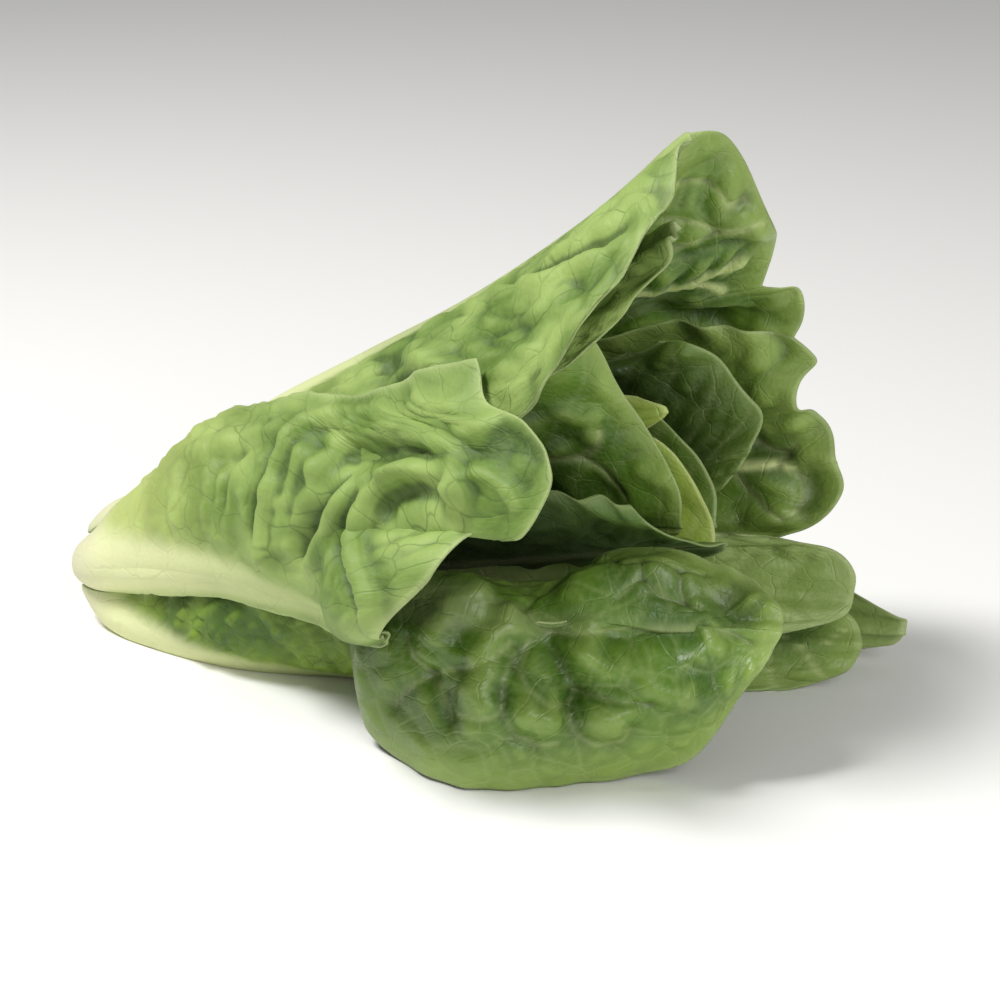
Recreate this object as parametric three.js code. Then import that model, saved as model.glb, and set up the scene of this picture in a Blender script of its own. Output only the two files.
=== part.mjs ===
// A head of romaine lettuce lying on its side, in millimetres, +Z up. The cut stem is at the -X end, the
// leaves open out towards +X, and the lowest of them touch z = 0. Each leaf is one thin solid: a waved blade
// with a thick rib that stands out of its outer face and thins towards the tip.
import * as THREE from "three";

// Driving dimensions
const AXIS_START = 30; // height of the middle line of the head where x = 0
const AXIS_RISE = 0.32; // how steeply it climbs towards the leaf tips
const BLADE = 1.0; // thickness of a leaf's blade
const FULL_WIDTH = 40; // half width from which a leaf has its whole hollow and waves
const RIDGE_LENGTH = 190; // lengths that v and u from 0 to 1 stand for where a ridge is measured
const RIDGE_WIDTH = 95;
const BUTT_START = -16; // x from which the head rounds off towards the cut
const BUTT_LENGTH = 15; // how far beyond that it would close to a point
const STEM_END = -30.5; // x of the cut face of the stem
const STEM_RADIUS = 10.5;
const STEM_CORE = 3.5; // radius of the stem among the leaves

const radians = THREE.MathUtils.degToRad;

function axisHeight(x) {
  return AXIS_START + AXIS_RISE * x;
}

// A point given by its x, its distance from the middle line and its angle round it: 0 faces -Y, 90 faces up.
// Near the cut the distance shrinks as on a ball.
function around(x, distance, angle) {
  const a = radians(angle);
  const beyond = Math.max(0, BUTT_START - x) / BUTT_LENGTH;
  const d = distance * Math.sqrt(1 - beyond * beyond);
  return new THREE.Vector3(x, -d * Math.cos(a), axisHeight(x) + d * Math.sin(a));
}

function straight(x, y, z) {
  return new THREE.Vector3(x, y, z);
}

function smooth(low, high, x) {
  const t = Math.min(Math.max((x - low) / (high - low), 0), 1);
  return t * t * (3 - 2 * t);
}

// The value at t, from 0 to 1, of a smooth curve through evenly spaced values.
function through(values, t) {
  const n = values.length - 1;
  const s = Math.min(Math.max(t, 0), 1) * n;
  const i = Math.min(Math.floor(s), n - 1);
  const f = s - i;
  const b = values[i];
  const c = values[i + 1];
  const a = i > 0 ? values[i - 1] : 2 * b - c;
  const d = i + 2 <= n ? values[i + 2] : 2 * c - b;
  return b + 0.5 * f * (c - a + f * (2 * a - 5 * b + 4 * c - d + f * (3 * (b - c) + d - a)));
}

// The same for a curve through points of three coordinates.
function along(points, t) {
  return [0, 1, 2].map((k) => through(points.map((p) => p[k]), t));
}

// The middle surface of a leaf before its waves: u runs from -1 on one margin through 0 on the rib to 1 on
// the other, v from 0 at the foot to 1 at the tip. Each half is spanned between the rib and its margin, and its
// last part is drawn to its own tip line, which runs from the end of the rib to the end of the margin.
function plainPoint(leaf, u, v) {
  const t = Math.abs(u);
  const half = u < 0 ? leaf.minus : leaf.plus;
  const reached = v - leaf.round * t ** 4 * smooth(0.4, 1, v);
  const rib = along(leaf.rib, reached);
  const margin = along(half.margin, reached);
  const p = rib.map((r, k) => r + (margin[k] - r) * t);
  if (half.tip) {
    const end = along(half.tip, t);
    const ribEnd = leaf.rib.at(-1);
    const marginEnd = half.margin.at(-1);
    const pull = smooth(0.5, 1, v);
    end.forEach((e, k) => {
      p[k] += pull * (e - ribEnd[k] - (marginEnd[k] - ribEnd[k]) * t);
    });
  }
  for (const { at, reach, by } of leaf.folds ?? []) {
    const far = ((u - at[0]) / reach[0]) ** 2 + ((v - at[1]) / reach[1]) ** 2;
    by.forEach((b, k) => {
      p[k] += b * Math.exp(-far);
    });
  }
  return leaf.place(...p);
}

function halfWidth(leaf, u, v) {
  const half = u < 0 ? leaf.minus : leaf.plus;
  return leaf.place(...along(leaf.rib, v)).distanceTo(leaf.place(...along(half.margin, v)));
}

// How far the ridges of a leaf push it out at u, v. A ridge runs along a line of u and v, rises over a short
// way on the side towards the foot and falls away more slowly beyond.
function ridgeHeight(leaf, u, v) {
  let out = 0;
  for (const { line, height, rise, fall } of leaf.ridges ?? []) {
    const points = line.map(([a, b]) => new THREE.Vector2(b * RIDGE_LENGTH, a * RIDGE_WIDTH));
    const p = new THREE.Vector2(v * RIDGE_LENGTH, u * RIDGE_WIDTH);
    let nearest = Infinity;
    let side = 0;
    for (let i = 0; i + 1 < points.length; i++) {
      const along = points[i + 1].clone().sub(points[i]);
      const away = p.clone().sub(points[i]);
      const share = THREE.MathUtils.clamp(away.dot(along) / along.lengthSq(), 0, 1);
      const distance = Math.max(away.addScaledVector(along, -share).length(), 1e-6);
      if (distance < nearest) {
        nearest = distance;
        side = smooth(-0.7, 0.7, along.cross(away) / (along.length() * distance));
      }
    }
    out += height * Math.exp(-((nearest / (fall + (rise - fall) * side)) ** 2));
  }
  return out;
}

// How far the surface is moved towards its inner face: the hollow of each half, the waves of the margin and
// the tip, less the ridges. A narrow stretch of leaf has less hollow and smaller waves.
function relief(leaf, u, v) {
  const t = Math.abs(u);
  const half = u < 0 ? leaf.minus : leaf.plus;
  const [amount, count, phase] = leaf.waves;
  const turn = 2 * Math.PI;
  const share = Math.min(1, halfWidth(leaf, u, v) / FULL_WIDTH);
  const hollow = -half.belly * 4 * t * (1 - t) * smooth(0, 0.4, v);
  const shift = phase + (u < 0 ? 0.3 : 0);
  const edge = amount * t ** 3 * smooth(0.15, 0.5, v) * Math.sin(turn * (count * v + shift));
  const tip = amount * smooth(0.7, 1, v) * Math.sin(turn * (0.6 * count * u + phase));
  return share * (hollow + edge + tip) - ridgeHeight(leaf, u, v);
}

function surfacePoint(leaf, u, v) {
  const d = 0.005;
  const du = plainPoint(leaf, u + d, v).sub(plainPoint(leaf, u - d, v));
  const dv = plainPoint(leaf, u, v + d).sub(plainPoint(leaf, u, v - d));
  return plainPoint(leaf, u, v).addScaledVector(du.cross(dv).normalize(), relief(leaf, u, v));
}

// How far the outer face stands from the middle surface: half the blade, and the rib.
function outerDepth(leaf, u, v) {
  const away = Math.abs(u) * halfWidth(leaf, u, v);
  const ribHalf = leaf.ribHalf * (1 - 0.85 * v) + 0.5;
  const deep = leaf.ribDeep * (1 - v) ** 1.2;
  return BLADE / 2 + (away < ribHalf ? deep * (0.5 + 0.5 * Math.cos((Math.PI * away) / ribHalf)) : 0);
}

// One leaf as a closed solid: an inner and an outer face of the same triangles, joined round the margin. What
// would reach below z = 0 lies flat there.
function leafGeometry(leaf) {
  const [columns, rows] = leaf.grid;
  const crowd = 1.25; // above 1, columns stand closer together near the rib
  const middle = [];
  for (let j = 0; j <= rows; j++)
    for (let i = 0; i <= columns; i++) {
      const s = (2 * i) / columns - 1;
      const u = Math.sign(s) * Math.abs(s) ** crowd;
      middle.push({ u, v: j / rows, p: surfacePoint(leaf, u, j / rows) });
    }
  const id = (i, j) => j * (columns + 1) + i;
  const at = (i, j) => middle[id(THREE.MathUtils.clamp(i, 0, columns), THREE.MathUtils.clamp(j, 0, rows))].p;
  const inner = [];
  const outer = [];
  middle.forEach(({ u, v, p }, k) => {
    const i = k % (columns + 1);
    const j = Math.floor(k / (columns + 1));
    const du = at(i + 1, j).clone().sub(at(i - 1, j));
    const dv = at(i, j + 1).clone().sub(at(i, j - 1));
    const inward = du.cross(dv).normalize();
    const a = p.clone().addScaledVector(inward, BLADE / 2);
    const b = p.clone().addScaledVector(inward, -outerDepth(leaf, u, v));
    inner.push(a.x, a.y, Math.max(a.z, BLADE));
    outer.push(b.x, b.y, Math.max(b.z, 0));
  });
  const half = middle.length;
  const index = [];
  for (let j = 0; j < rows; j++)
    for (let i = 0; i < columns; i++) {
      const [a, b, c, d] = [id(i, j), id(i + 1, j), id(i + 1, j + 1), id(i, j + 1)];
      index.push(a, b, c, a, c, d);
      index.push(a + half, c + half, b + half, a + half, d + half, c + half);
    }
  const rim = [];
  for (let i = 0; i < columns; i++) rim.push(id(i, 0));
  for (let j = 0; j < rows; j++) rim.push(id(columns, j));
  for (let i = columns; i > 0; i--) rim.push(id(i, rows));
  for (let j = rows; j > 0; j--) rim.push(id(0, j));
  rim.forEach((a, k) => {
    const b = rim[(k + 1) % rim.length];
    index.push(b, a, a + half, b, a + half, b + half);
  });
  const geometry = new THREE.BufferGeometry();
  geometry.setAttribute("position", new THREE.Float32BufferAttribute([...inner, ...outer], 3));
  geometry.setIndex(index);
  return geometry;
}

// The leaves, from the outside in. Every curve runs from the foot to the tip, in points of x, distance and
// angle where the leaf is placed around the middle line, or of x, y and z where it is placed straight. Plus is
// the margin on the side where the angle grows. A fold moves what is within reach of a place in u and v, and a
// ridge stands out along a line of them.
const LEAVES = [
  {
    name: "front_outer_leaf",
    place: around,
    round: 0.04,
    rib: [
      [-27, 14.5, 8], [-8, 18, 3], [15, 27, 1], [45, 36, -7], [75, 46, -16], [100, 57, -20],
      [119, 70, -17],
    ],
    minus: {
      margin: [
        [-27, 14.5, -31], [-8, 18, -32], [15, 28, -22], [45, 37, -22], [75, 47, -28], [98, 59, -28],
        [120, 72, -23],
      ],
      belly: 0,
    },
    plus: {
      margin: [
        [-27, 14.5, 50], [-10, 24, 90], [12, 39, 103], [42, 47, 88], [80, 54, 62], [118, 65, 53],
        [147, 75, 48],
      ],
      tip: [
        [119, 70, -17], [129, 83, -9], [147, 84, -1], [157, 78, 5.5], [171, 84, 4.5], [180, 82, 15],
        [168, 79, 28], [152, 75, 36], [147, 75, 48],
      ],
      belly: 2,
    },
    folds: [{ at: [0.26, 0.9], reach: [0.15, 0.12], by: [-4, 5, 1] }],
    ridges: [
      {
        line: [
          [-0.02, 0.93], [0.15, 0.84], [0.3, 0.765], [0.45, 0.735], [0.56, 0.735], [0.64, 0.77],
          [0.64, 0.84],
        ],
        height: 7, rise: 8, fall: 20,
      },
      { line: [[0.2, 0.6], [0.47, 0.575], [0.68, 0.6]], height: 3, rise: 7, fall: 14 },
    ],
    waves: [1.5, 4, 0.1],
    ribHalf: 15, ribDeep: 4.5, grid: [22, 32], color: 0x9fb96a,
  },
  {
    name: "top_outer_leaf",
    place: around,
    round: 0.03,
    rib: [
      [-27, 14.5, 98], [0, 20, 102], [38, 40, 98], [76, 52, 96], [114, 64, 98], [150, 81, 100],
      [182, 101, 99],
    ],
    minus: {
      margin: [
        [-27, 14.5, 66], [0, 19, 55], [38, 34, 40], [76, 45, 32], [118, 57, 28], [158, 69, 32],
        [190, 83, 62],
      ],
      tip: [[182, 101, 99], [188, 98, 88], [192, 92, 75], [190, 83, 62]],
      belly: 0,
    },
    plus: {
      margin: [
        [-27, 14.5, 130], [0, 24, 127], [38, 38, 134], [76, 53, 130], [114, 67, 127], [143, 82, 124],
        [162, 91, 118],
      ],
      belly: 0,
    },
    waves: [1.5, 3, 0.5],
    ribHalf: 12, ribDeep: 4, grid: [16, 18], color: 0x9fb96a,
  },
  {
    name: "back_top_leaf",
    place: around,
    round: 0.02,
    rib: [
      [-27, 14.5, 161], [0, 17, 158], [38, 32, 150], [80, 46, 145], [120, 56, 142], [160, 66, 141],
      [192, 72.5, 148],
    ],
    minus: {
      margin: [
        [-27, 14.5, 136], [0, 15, 134], [38, 31, 119], [80, 47, 110], [124, 63, 104], [167, 83.5, 105],
        [182, 105, 102.5],
      ],
      tip: [[192, 72.5, 148], [200, 74, 135], [198, 80, 122], [190, 99, 108], [182, 105, 102.5]],
      belly: 0,
    },
    plus: {
      margin: [
        [-27, 14.5, 187], [0, 20, 188], [38, 35, 186], [80, 49, 184], [120, 60, 182], [160, 68, 176],
        [205, 70, 168],
      ],
      tip: [[192, 72.5, 148], [203, 72.4, 153], [206, 72.4, 160], [205, 70, 168]],
      belly: 2,
    },
    waves: [2, 3, 0.1],
    ribHalf: 9, ribDeep: 4, grid: [14, 16], color: 0x5f8a3a,
  },
  {
    name: "back_outer_leaf",
    place: around,
    round: 0.1,
    rib: [
      [-27, 14.5, 227], [0, 22, 231], [45, 42, 229], [90, 62, 230], [140, 84, 231], [190, 102, 233],
      [246, 115, 235],
    ],
    minus: {
      margin: [
        [-27, 14.5, 193], [0, 24, 199], [45, 46, 197], [90, 66, 198], [140, 86, 203], [190, 103, 215],
        [245, 105, 234],
      ],
      belly: 3,
    },
    plus: {
      margin: [
        [-27, 14.5, 256], [0, 21, 258], [45, 42, 251], [90, 64, 247], [140, 89, 240], [190, 112, 237],
        [243, 125, 236],
      ],
      belly: 2,
    },
    waves: [3, 3, 0.3],
    ribHalf: 12, ribDeep: 4.5, grid: [12, 16], color: 0x7d9c50,
  },
  {
    name: "bottom_leaf",
    place: around,
    round: 0.1,
    rib: [[-27, 15, -63], [-4, 30, -59], [36, 45, -63], [80, 55, -77], [125, 70.2, -82], [175, 85.5, -84]],
    minus: {
      margin: [
        [-27, 14.5, -98], [-6, 27, -96], [35, 42, -102], [80, 54, -108], [125, 67, -103],
        [170, 81, -94],
      ],
      belly: 0,
    },
    plus: {
      margin: [
        [-27, 14.5, -37], [-4, 19, -38], [35, 30, -23], [75, 38, -27], [112, 50, -46], [160, 68, -66],
      ],
      belly: 3,
    },
    waves: [2, 3, 0.3],
    ribHalf: 12, ribDeep: 4.5, grid: [14, 16], color: 0x557f33,
  },
  {
    name: "front_low_leaf",
    place: straight,
    round: 0.06,
    rib: [
      [-22, -6, 20], [20, -20, 34], [60, -34, 46], [94, -45, 50], [122, -48, 47], [152, -46, 47],
      [180, -39, 49], [206, -31, 49], [229, -22, 48],
    ],
    minus: {
      margin: [
        [-22, -5, 22], [20, -19, 37], [60, -30, 54], [94, -38, 58], [118, -31, 50], [148, -14, 47],
        [174, -9, 61], [203, -9, 61], [227, -11, 55],
      ],
      belly: -2,
    },
    plus: {
      margin: [
        [-22, -7, 17], [20, -19, 29], [60, -35, 39.5], [93, -43, 37], [106, -57, 6], [145, -68, 0],
        [176, -54, 0], [203, -35, 6], [222, -27, 30],
      ],
      belly: -7,
    },
    folds: [{ at: [-0.3, 0.53], reach: [0.35, 0.06], by: [0, -3, 8] }],
    waves: [1.5, 3, 0.3],
    ribHalf: 9, ribDeep: 2.5, grid: [16, 20], color: 0x4c7a2c,
  },
  {
    name: "back_under_leaf",
    place: around,
    round: 0.1,
    rib: [
      [-22, 6, 262], [25, 20, 262], [70, 38, 260], [110, 54, 256], [150, 70, 250], [190, 86, 245],
      [236, 101, 242],
    ],
    minus: {
      margin: [
        [-22, 6, 240], [25, 20, 238], [70, 38, 236], [110, 53, 234], [150, 66, 231], [190, 80, 229],
        [230, 92, 233],
      ],
      belly: 1,
    },
    plus: {
      margin: [
        [-22, 6, 284], [25, 20, 282], [70, 38, 278], [110, 54, 272], [150, 69, 263], [196, 97, 253],
        [233, 114, 246],
      ],
      belly: 0,
    },
    waves: [2, 3, 0.2],
    ribHalf: 9, ribDeep: 3, grid: [12, 14], color: 0x6d9440,
  },
  {
    name: "back_middle_leaf",
    place: around,
    round: 0.03,
    rib: [
      [-22, 6, 200], [20, 19, 202], [62, 33, 203], [100, 44, 202], [135, 53, 201], [170, 60, 201],
      [222, 64, 204],
    ],
    minus: {
      margin: [
        [-22, 6, 170], [20, 19, 164], [62, 33, 156], [100, 45, 148], [135, 54, 143], [174, 57, 142],
        [217, 50, 157],
      ],
      tip: [
        [222, 64, 204], [219, 61, 196], [214, 56, 187], [211, 51, 180], [213, 48, 172], [220, 47, 166],
        [217, 50, 157],
      ],
      belly: 0,
    },
    plus: {
      margin: [
        [-22, 6, 226], [20, 19, 226], [62, 34, 226], [100, 46, 226], [135, 55, 226], [170, 63, 225],
        [212, 70, 224],
      ],
      tip: [[222, 64, 204], [224, 67, 213], [220, 70, 220], [212, 70, 224]],
      belly: 0,
    },
    waves: [2, 3, 0.2],
    ribHalf: 10, ribDeep: 3, grid: [14, 16], color: 0x4f7c30,
  },
  {
    name: "back_low_leaf",
    place: around,
    round: 0.1,
    rib: [
      [-10, 5, 245], [25, 15, 243], [70, 30, 242], [110, 44, 240], [150, 55, 239], [188, 66, 238],
      [233, 83, 238],
    ],
    minus: {
      margin: [
        [-10, 5, 222], [25, 15, 221], [70, 28, 221], [110, 39, 222], [150, 46, 224], [183, 52, 226],
        [220, 61, 227],
      ],
      tip: [[233, 83, 238], [233, 77, 234], [228, 68, 230], [220, 61, 227]],
      belly: 0,
    },
    plus: {
      margin: [
        [-10, 5, 268], [25, 15, 266], [70, 31, 265], [110, 47, 262], [150, 58, 260], [188, 68, 256],
        [233, 90, 245],
      ],
      belly: 0,
    },
    waves: [2, 2.5, 0.6],
    ribHalf: 9, ribDeep: 2.5, grid: [12, 14], color: 0x8aa85c,
  },
  {
    name: "upper_inner_leaf",
    place: around,
    round: 0.1,
    rib: [[-20, 5, 80], [25, 22, 80], [70, 36, 78], [115, 50, 76], [155, 64, 76], [189, 76, 78]],
    minus: {
      margin: [[-20, 5, 55], [25, 20, 52], [70, 33, 50], [115, 45, 48], [150, 54, 47], [178, 60, 56]],
      tip: [[189, 76, 78], [191, 74, 72], [186, 66, 64], [178, 60, 56]],
      belly: 0,
    },
    plus: {
      margin: [[-20, 5, 112], [25, 20, 112], [70, 34, 112], [115, 48, 110], [155, 62, 108], [182, 73, 104]],
      belly: 0,
    },
    waves: [2, 4, 0.2],
    ribHalf: 8, ribDeep: 2, grid: [12, 14], color: 0x9cb878,
  },
  {
    name: "inner_back_leaf",
    place: straight,
    round: 0.03,
    rib: [
      [-10, 5, 28], [25, 13, 36], [65, 22, 45], [105, 31, 55], [140, 37, 62], [170, 40, 70],
      [198, 40, 82],
    ],
    minus: {
      margin: [
        [-10, 4, 31], [25, 11, 50], [65, 16, 72], [105, 24, 93], [135, 29, 106], [155, 31, 108],
        [171, 33, 118],
      ],
      tip: [[198, 40, 82], [200, 40, 94], [191, 36, 106], [182, 33, 117], [171, 33, 118]],
      belly: 2,
    },
    plus: {
      margin: [
        [-10, 6, 25.5], [25, 13.5, 31], [65, 23, 37], [105, 32, 45], [140, 38, 52], [170, 41, 58],
        [190, 42, 66],
      ],
      belly: 1,
    },
    waves: [2, 4, 0.1],
    ribHalf: 8, ribDeep: 2, grid: [12, 14], color: 0x3f6826,
  },
  {
    name: "inner_front_leaf",
    place: straight,
    round: 0.06,
    rib: [
      [-10, -3, 26], [30, -8, 32], [70, -10, 38], [110, -8, 44], [145, 0, 50], [176, 4, 56],
      [204, -1, 64],
    ],
    minus: {
      margin: [
        [-10, 1, 24], [30, 2, 27], [70, 4, 32], [110, 6, 38], [145, 10, 44], [176, 12, 50],
        [200, 4, 57],
      ],
      belly: 1,
    },
    plus: {
      margin: [
        [-10, -4, 29], [30, -13, 42], [70, -24, 57], [110, -28, 71], [142, -24, 79], [165, -18, 81],
        [184, -16, 76],
      ],
      tip: [[204, -1, 64], [199, -6, 67], [191, -13, 71], [184, -16, 76]],
      belly: 3,
    },
    waves: [1, 3, 0.2],
    ribHalf: 8, ribDeep: 2, grid: [12, 14], color: 0x4a7430,
  },
  {
    name: "centre_leaf",
    place: straight,
    round: 0.02,
    rib: [[-6, -1, 28], [30, -1, 38], [70, 0, 48], [110, 3, 56], [145, 6, 61], [170, 6, 63], [188, 3, 66]],
    minus: {
      margin: [
        [-6, -3, 31], [30, -8, 50], [70, -15, 72], [105, -22, 94], [130, -26, 110], [150, -26, 124],
        [164, -20, 134],
      ],
      tip: [[188, 3, 66], [187, 0, 78], [177, -1, 94], [169, -5, 112], [166, -13, 126], [164, -20, 134]],
      belly: 3,
    },
    plus: {
      margin: [
        [-6, 1, 26], [30, 3, 33], [70, 6, 42], [110, 8, 49], [145, 10, 54], [170, 9, 57], [186, 5, 62],
      ],
      belly: 0,
    },
    waves: [1.5, 3, 0.4],
    ribHalf: 7, ribDeep: 2, grid: [12, 16], color: 0x5d8a35,
  },
  {
    name: "yellow_inner_leaf",
    place: straight,
    round: 0.06,
    rib: [
      [2, 2.2, 31], [30, 4, 39], [70, 7, 49], [110, 11, 56], [145, 13, 60], [172, 12, 59],
      [197, 10, 57],
    ],
    minus: {
      margin: [
        [2, 0.6, 34], [30, 1, 48], [70, 1, 66], [105, 4, 82], [130, 7, 92], [150, 9, 97], [168, 9, 94],
      ],
      tip: [[197, 10, 57], [194, 11, 66], [188, 11, 79], [179, 10, 89], [168, 9, 94]],
      belly: 1,
    },
    plus: {
      margin: [
        [2, 3.2, 28], [30, 7, 34], [70, 12, 43], [110, 15, 50], [145, 17, 54], [172, 15, 54],
        [194, 12, 54],
      ],
      belly: 0,
    },
    waves: [1, 3, 0.1],
    ribHalf: 6, ribDeep: 1.5, grid: [10, 14], color: 0x8fae35,
  },
  {
    name: "heart_leaf",
    place: straight,
    round: 0.06,
    rib: [[14, 2.8, 41], [40, 6, 51], [75, 9, 64], [115, 12, 78], [150, 14, 90], [178, 15, 99]],
    minus: {
      margin: [[14, 2.6, 42.5], [40, 4.5, 57], [75, 7, 74], [115, 10, 90], [148, 12, 101], [176, 13, 103]],
      belly: 0,
    },
    plus: {
      margin: [[14, 3, 39.5], [40, 7, 46], [75, 10, 57], [115, 13, 69], [150, 15, 81], [176, 16, 95]],
      belly: 0,
    },
    waves: [0.8, 3, 0.3],
    ribHalf: 5, ribDeep: 1, grid: [8, 12], color: 0xc8d66a,
  },
  {
    name: "upper_heart_leaf",
    place: around,
    round: 0.1,
    rib: [[0, 8, 95], [30, 17, 94], [70, 26, 93], [105, 33, 92], [138, 39, 93]],
    minus: { margin: [[0, 7, 74], [30, 15, 72], [70, 23, 68], [105, 28, 66], [130, 32, 76]], belly: 0 },
    plus: { margin: [[0, 8, 114], [30, 18, 104], [70, 27, 104], [105, 33, 112], [130, 37, 106]], belly: 0 },
    waves: [1.5, 3, 0.2],
    ribHalf: 5, ribDeep: 1.5, grid: [10, 12], color: 0xa8bf55,
  },
  {
    name: "dim_inner_leaf",
    place: straight,
    round: 0.06,
    rib: [
      [7, 4.8, 36], [30, 10, 38], [70, 16, 47], [110, 21, 54], [145, 24, 58], [172, 24, 60],
      [193, 22, 60],
    ],
    minus: {
      margin: [
        [7, 4.3, 39], [30, 7, 52], [70, 11, 70], [105, 15, 86], [130, 18, 96], [150, 20, 100],
        [170, 21, 97],
      ],
      tip: [[193, 22, 60], [191, 23, 71], [185, 23, 83], [177, 22, 91], [170, 21, 97]],
      belly: 1,
    },
    plus: {
      margin: [
        [7, 5.3, 33], [30, 11, 33], [70, 18, 41], [110, 24, 48], [145, 27, 52], [172, 26, 55],
        [190, 23, 57],
      ],
      belly: 0,
    },
    waves: [1, 3, 0.3],
    ribHalf: 6, ribDeep: 1.5, grid: [10, 12], color: 0x4d7a3a,
  },
];

// The cut stem: a flat cut face with a softened edge, and a core that tapers away among the feet of the leaves.
function stemGeometry() {
  const profile = [
    [0, 0],
    [STEM_RADIUS - 1.5, 0],
    [STEM_RADIUS, 1.2],
    [STEM_RADIUS, 1.7],
    [STEM_RADIUS - 3, 2.8],
    [STEM_CORE + 0.3, 7],
    [STEM_CORE, 12],
    [1, 23],
    [0, 24],
  ];
  const geometry = new THREE.LatheGeometry(profile.map(([r, h]) => new THREE.Vector2(r, h)), 24);
  geometry.rotateZ(-Math.PI / 2);
  geometry.translate(STEM_END, 0, 0);
  const shear = new THREE.Matrix4().set(1, 0, 0, 0, 0, 1, 0, 0, AXIS_RISE, 0, 1, AXIS_START, 0, 0, 0, 1);
  return geometry.applyMatrix4(shear);
}

const parts = new THREE.Group();
const addPart = (name, geometry, color) => {
  const material = new THREE.MeshStandardMaterial({ color, roughness: 0.6, metalness: 0 });
  const mesh = new THREE.Mesh(geometry, material);
  mesh.name = name;
  parts.add(mesh);
};
for (const leaf of LEAVES) addPart(leaf.name, leafGeometry(leaf), leaf.color);
addPart("stem", stemGeometry(), 0xd8d6a8);

// The origin is at the middle of the underside of the head's box.
const middle = new THREE.Box3().setFromObject(parts).getCenter(new THREE.Vector3());
parts.position.set(-middle.x, -middle.y, 0);
const head = new THREE.Group();
head.add(parts);

export default head;
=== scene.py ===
# A head of romaine lettuce lying on its side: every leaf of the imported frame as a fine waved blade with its
# rib, veins and blisters, the cut stem, and a pale studio. Shapes are worked out in millimetres along the
# head and put into metres when a mesh is made.
import math

import bpy
import numpy as np
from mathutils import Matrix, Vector


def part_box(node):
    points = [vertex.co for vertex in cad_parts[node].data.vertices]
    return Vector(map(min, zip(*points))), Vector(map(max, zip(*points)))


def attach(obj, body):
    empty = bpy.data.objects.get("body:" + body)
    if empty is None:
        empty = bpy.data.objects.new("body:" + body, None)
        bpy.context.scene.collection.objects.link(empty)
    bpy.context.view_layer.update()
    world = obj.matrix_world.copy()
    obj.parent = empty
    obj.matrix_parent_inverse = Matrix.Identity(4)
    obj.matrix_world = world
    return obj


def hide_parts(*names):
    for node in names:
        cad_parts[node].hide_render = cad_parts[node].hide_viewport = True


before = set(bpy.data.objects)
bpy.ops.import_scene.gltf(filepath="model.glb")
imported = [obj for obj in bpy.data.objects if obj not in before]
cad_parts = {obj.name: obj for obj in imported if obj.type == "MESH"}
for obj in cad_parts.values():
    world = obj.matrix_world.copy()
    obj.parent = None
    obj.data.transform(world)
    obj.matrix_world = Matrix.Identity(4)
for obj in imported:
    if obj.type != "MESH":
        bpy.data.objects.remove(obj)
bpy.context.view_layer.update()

MM = 0.001

# The head and its leaves.
AXIS_START = 30  # height of the middle line of the head where x = 0
AXIS_RISE = 0.32  # how steeply it climbs towards the leaf tips
BUTT_START = -16  # x from which the head rounds off towards the cut
BUTT_LENGTH = 15  # how far beyond that it would close to a point
STEM_END = -30.5  # x of the cut face of the stem
FULL_WIDTH = 40  # half width from which a leaf has its whole hollow and waves
MINUS_AHEAD = 0.3  # share of a turn by which the waves of one margin are ahead of the other's
TIP_WAVES = 0.6  # waves along the tip for each wave along a margin
RIDGE_SIZE = (190, 95)  # lengths that v and u from 0 to 1 stand for where a ridge is measured
BLADE = 1.0  # thickness of a leaf's blade
THIN_MARGIN = 0.5  # share of that thickness left at the margin
INNER_LOWEST = 0.8  # how far above the floor an inner face stays
OUTER_LOWEST = 0.05  # and an outer face
CROWD = 1.15  # above 1, columns of the mesh stand closer together near the rib
STEP = 0.005  # how far apart in u and v a slope is taken
TILE = 64  # squares after which noise and cells repeat

# Veins, blisters and crumples.
SWEEP = 0.8  # how far side veins climb towards the tip for each step away from the rib
WANDER = 0.28  # how far side veins stray, as a share of their spacing
WANDER_SIZE = 1.6  # how long that straying is, in spacings
NO_SIDE_VEIN = 20  # added to the distance to a side vein where a leaf has none
SIDE_VEIN_HALF = 0.9  # half width of a side vein
NET_HALF = 0.6  # half width of a vein of the net between them
CRUMPLES = [(40, 1, 3), (19, 0.8, 4), (9, 0.35, 8)]  # size and height of each crumple, and its seed
FINE_SIZES = [(4.2, 10), (15, 11)]  # sizes of the finest unevenness and of its patches, and their seeds
PLEATS = [(6, 2.4, 0.6, 7), (3, 6, 1, 9)]  # how much longer than wide, width and height, and the seed
EVENED = 14  # how many times the lift is evened out, to tell hollows from swells
SIDE_DEPTH = 40  # how far apart the patterns of the two faces are taken

# The studio, in metres.
CAMERA_AWAY = 0.75
CAMERA_TURN = math.radians(24)
CAMERA_RISE = math.radians(20)
SENSOR = 36  # width of the camera's picture and length of its lens, in millimetres
LENS = 84.4
LENS_SHIFT = (0.005, -0.040)  # how far the picture is moved, as a share of its width
FLOOR_HALF = 6.0
LIGHTS = [("key", (-0.55, -0.4, 1.35), 0.4, 20), ("fill", (1.1, -0.8, 0.9), 0.8, 9)]  # place, size and watts
SKY = 0.28  # strength of the white all round

stem_low, stem_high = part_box("stem")
SHIFT = np.array([stem_low.x / MM - STEM_END, (stem_low.y + stem_high.y) / 2 / MM, 0])
TARGET = Vector((125, 0, 80) + SHIFT) * MM  # the point that the camera looks at


def around(x, distance, angle):
    """A point by its distance from the middle line and its angle round it: 0 faces -Y, 90 faces up."""
    a = np.radians(angle)
    beyond = np.maximum(0, BUTT_START - x) / BUTT_LENGTH
    d = distance * np.sqrt(1 - np.minimum(beyond, 0.99) ** 2)
    return np.stack([x, -d * np.cos(a), AXIS_START + AXIS_RISE * x + d * np.sin(a)], -1)


def straight(x, y, z):
    return np.stack([x, y, z], -1)


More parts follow.
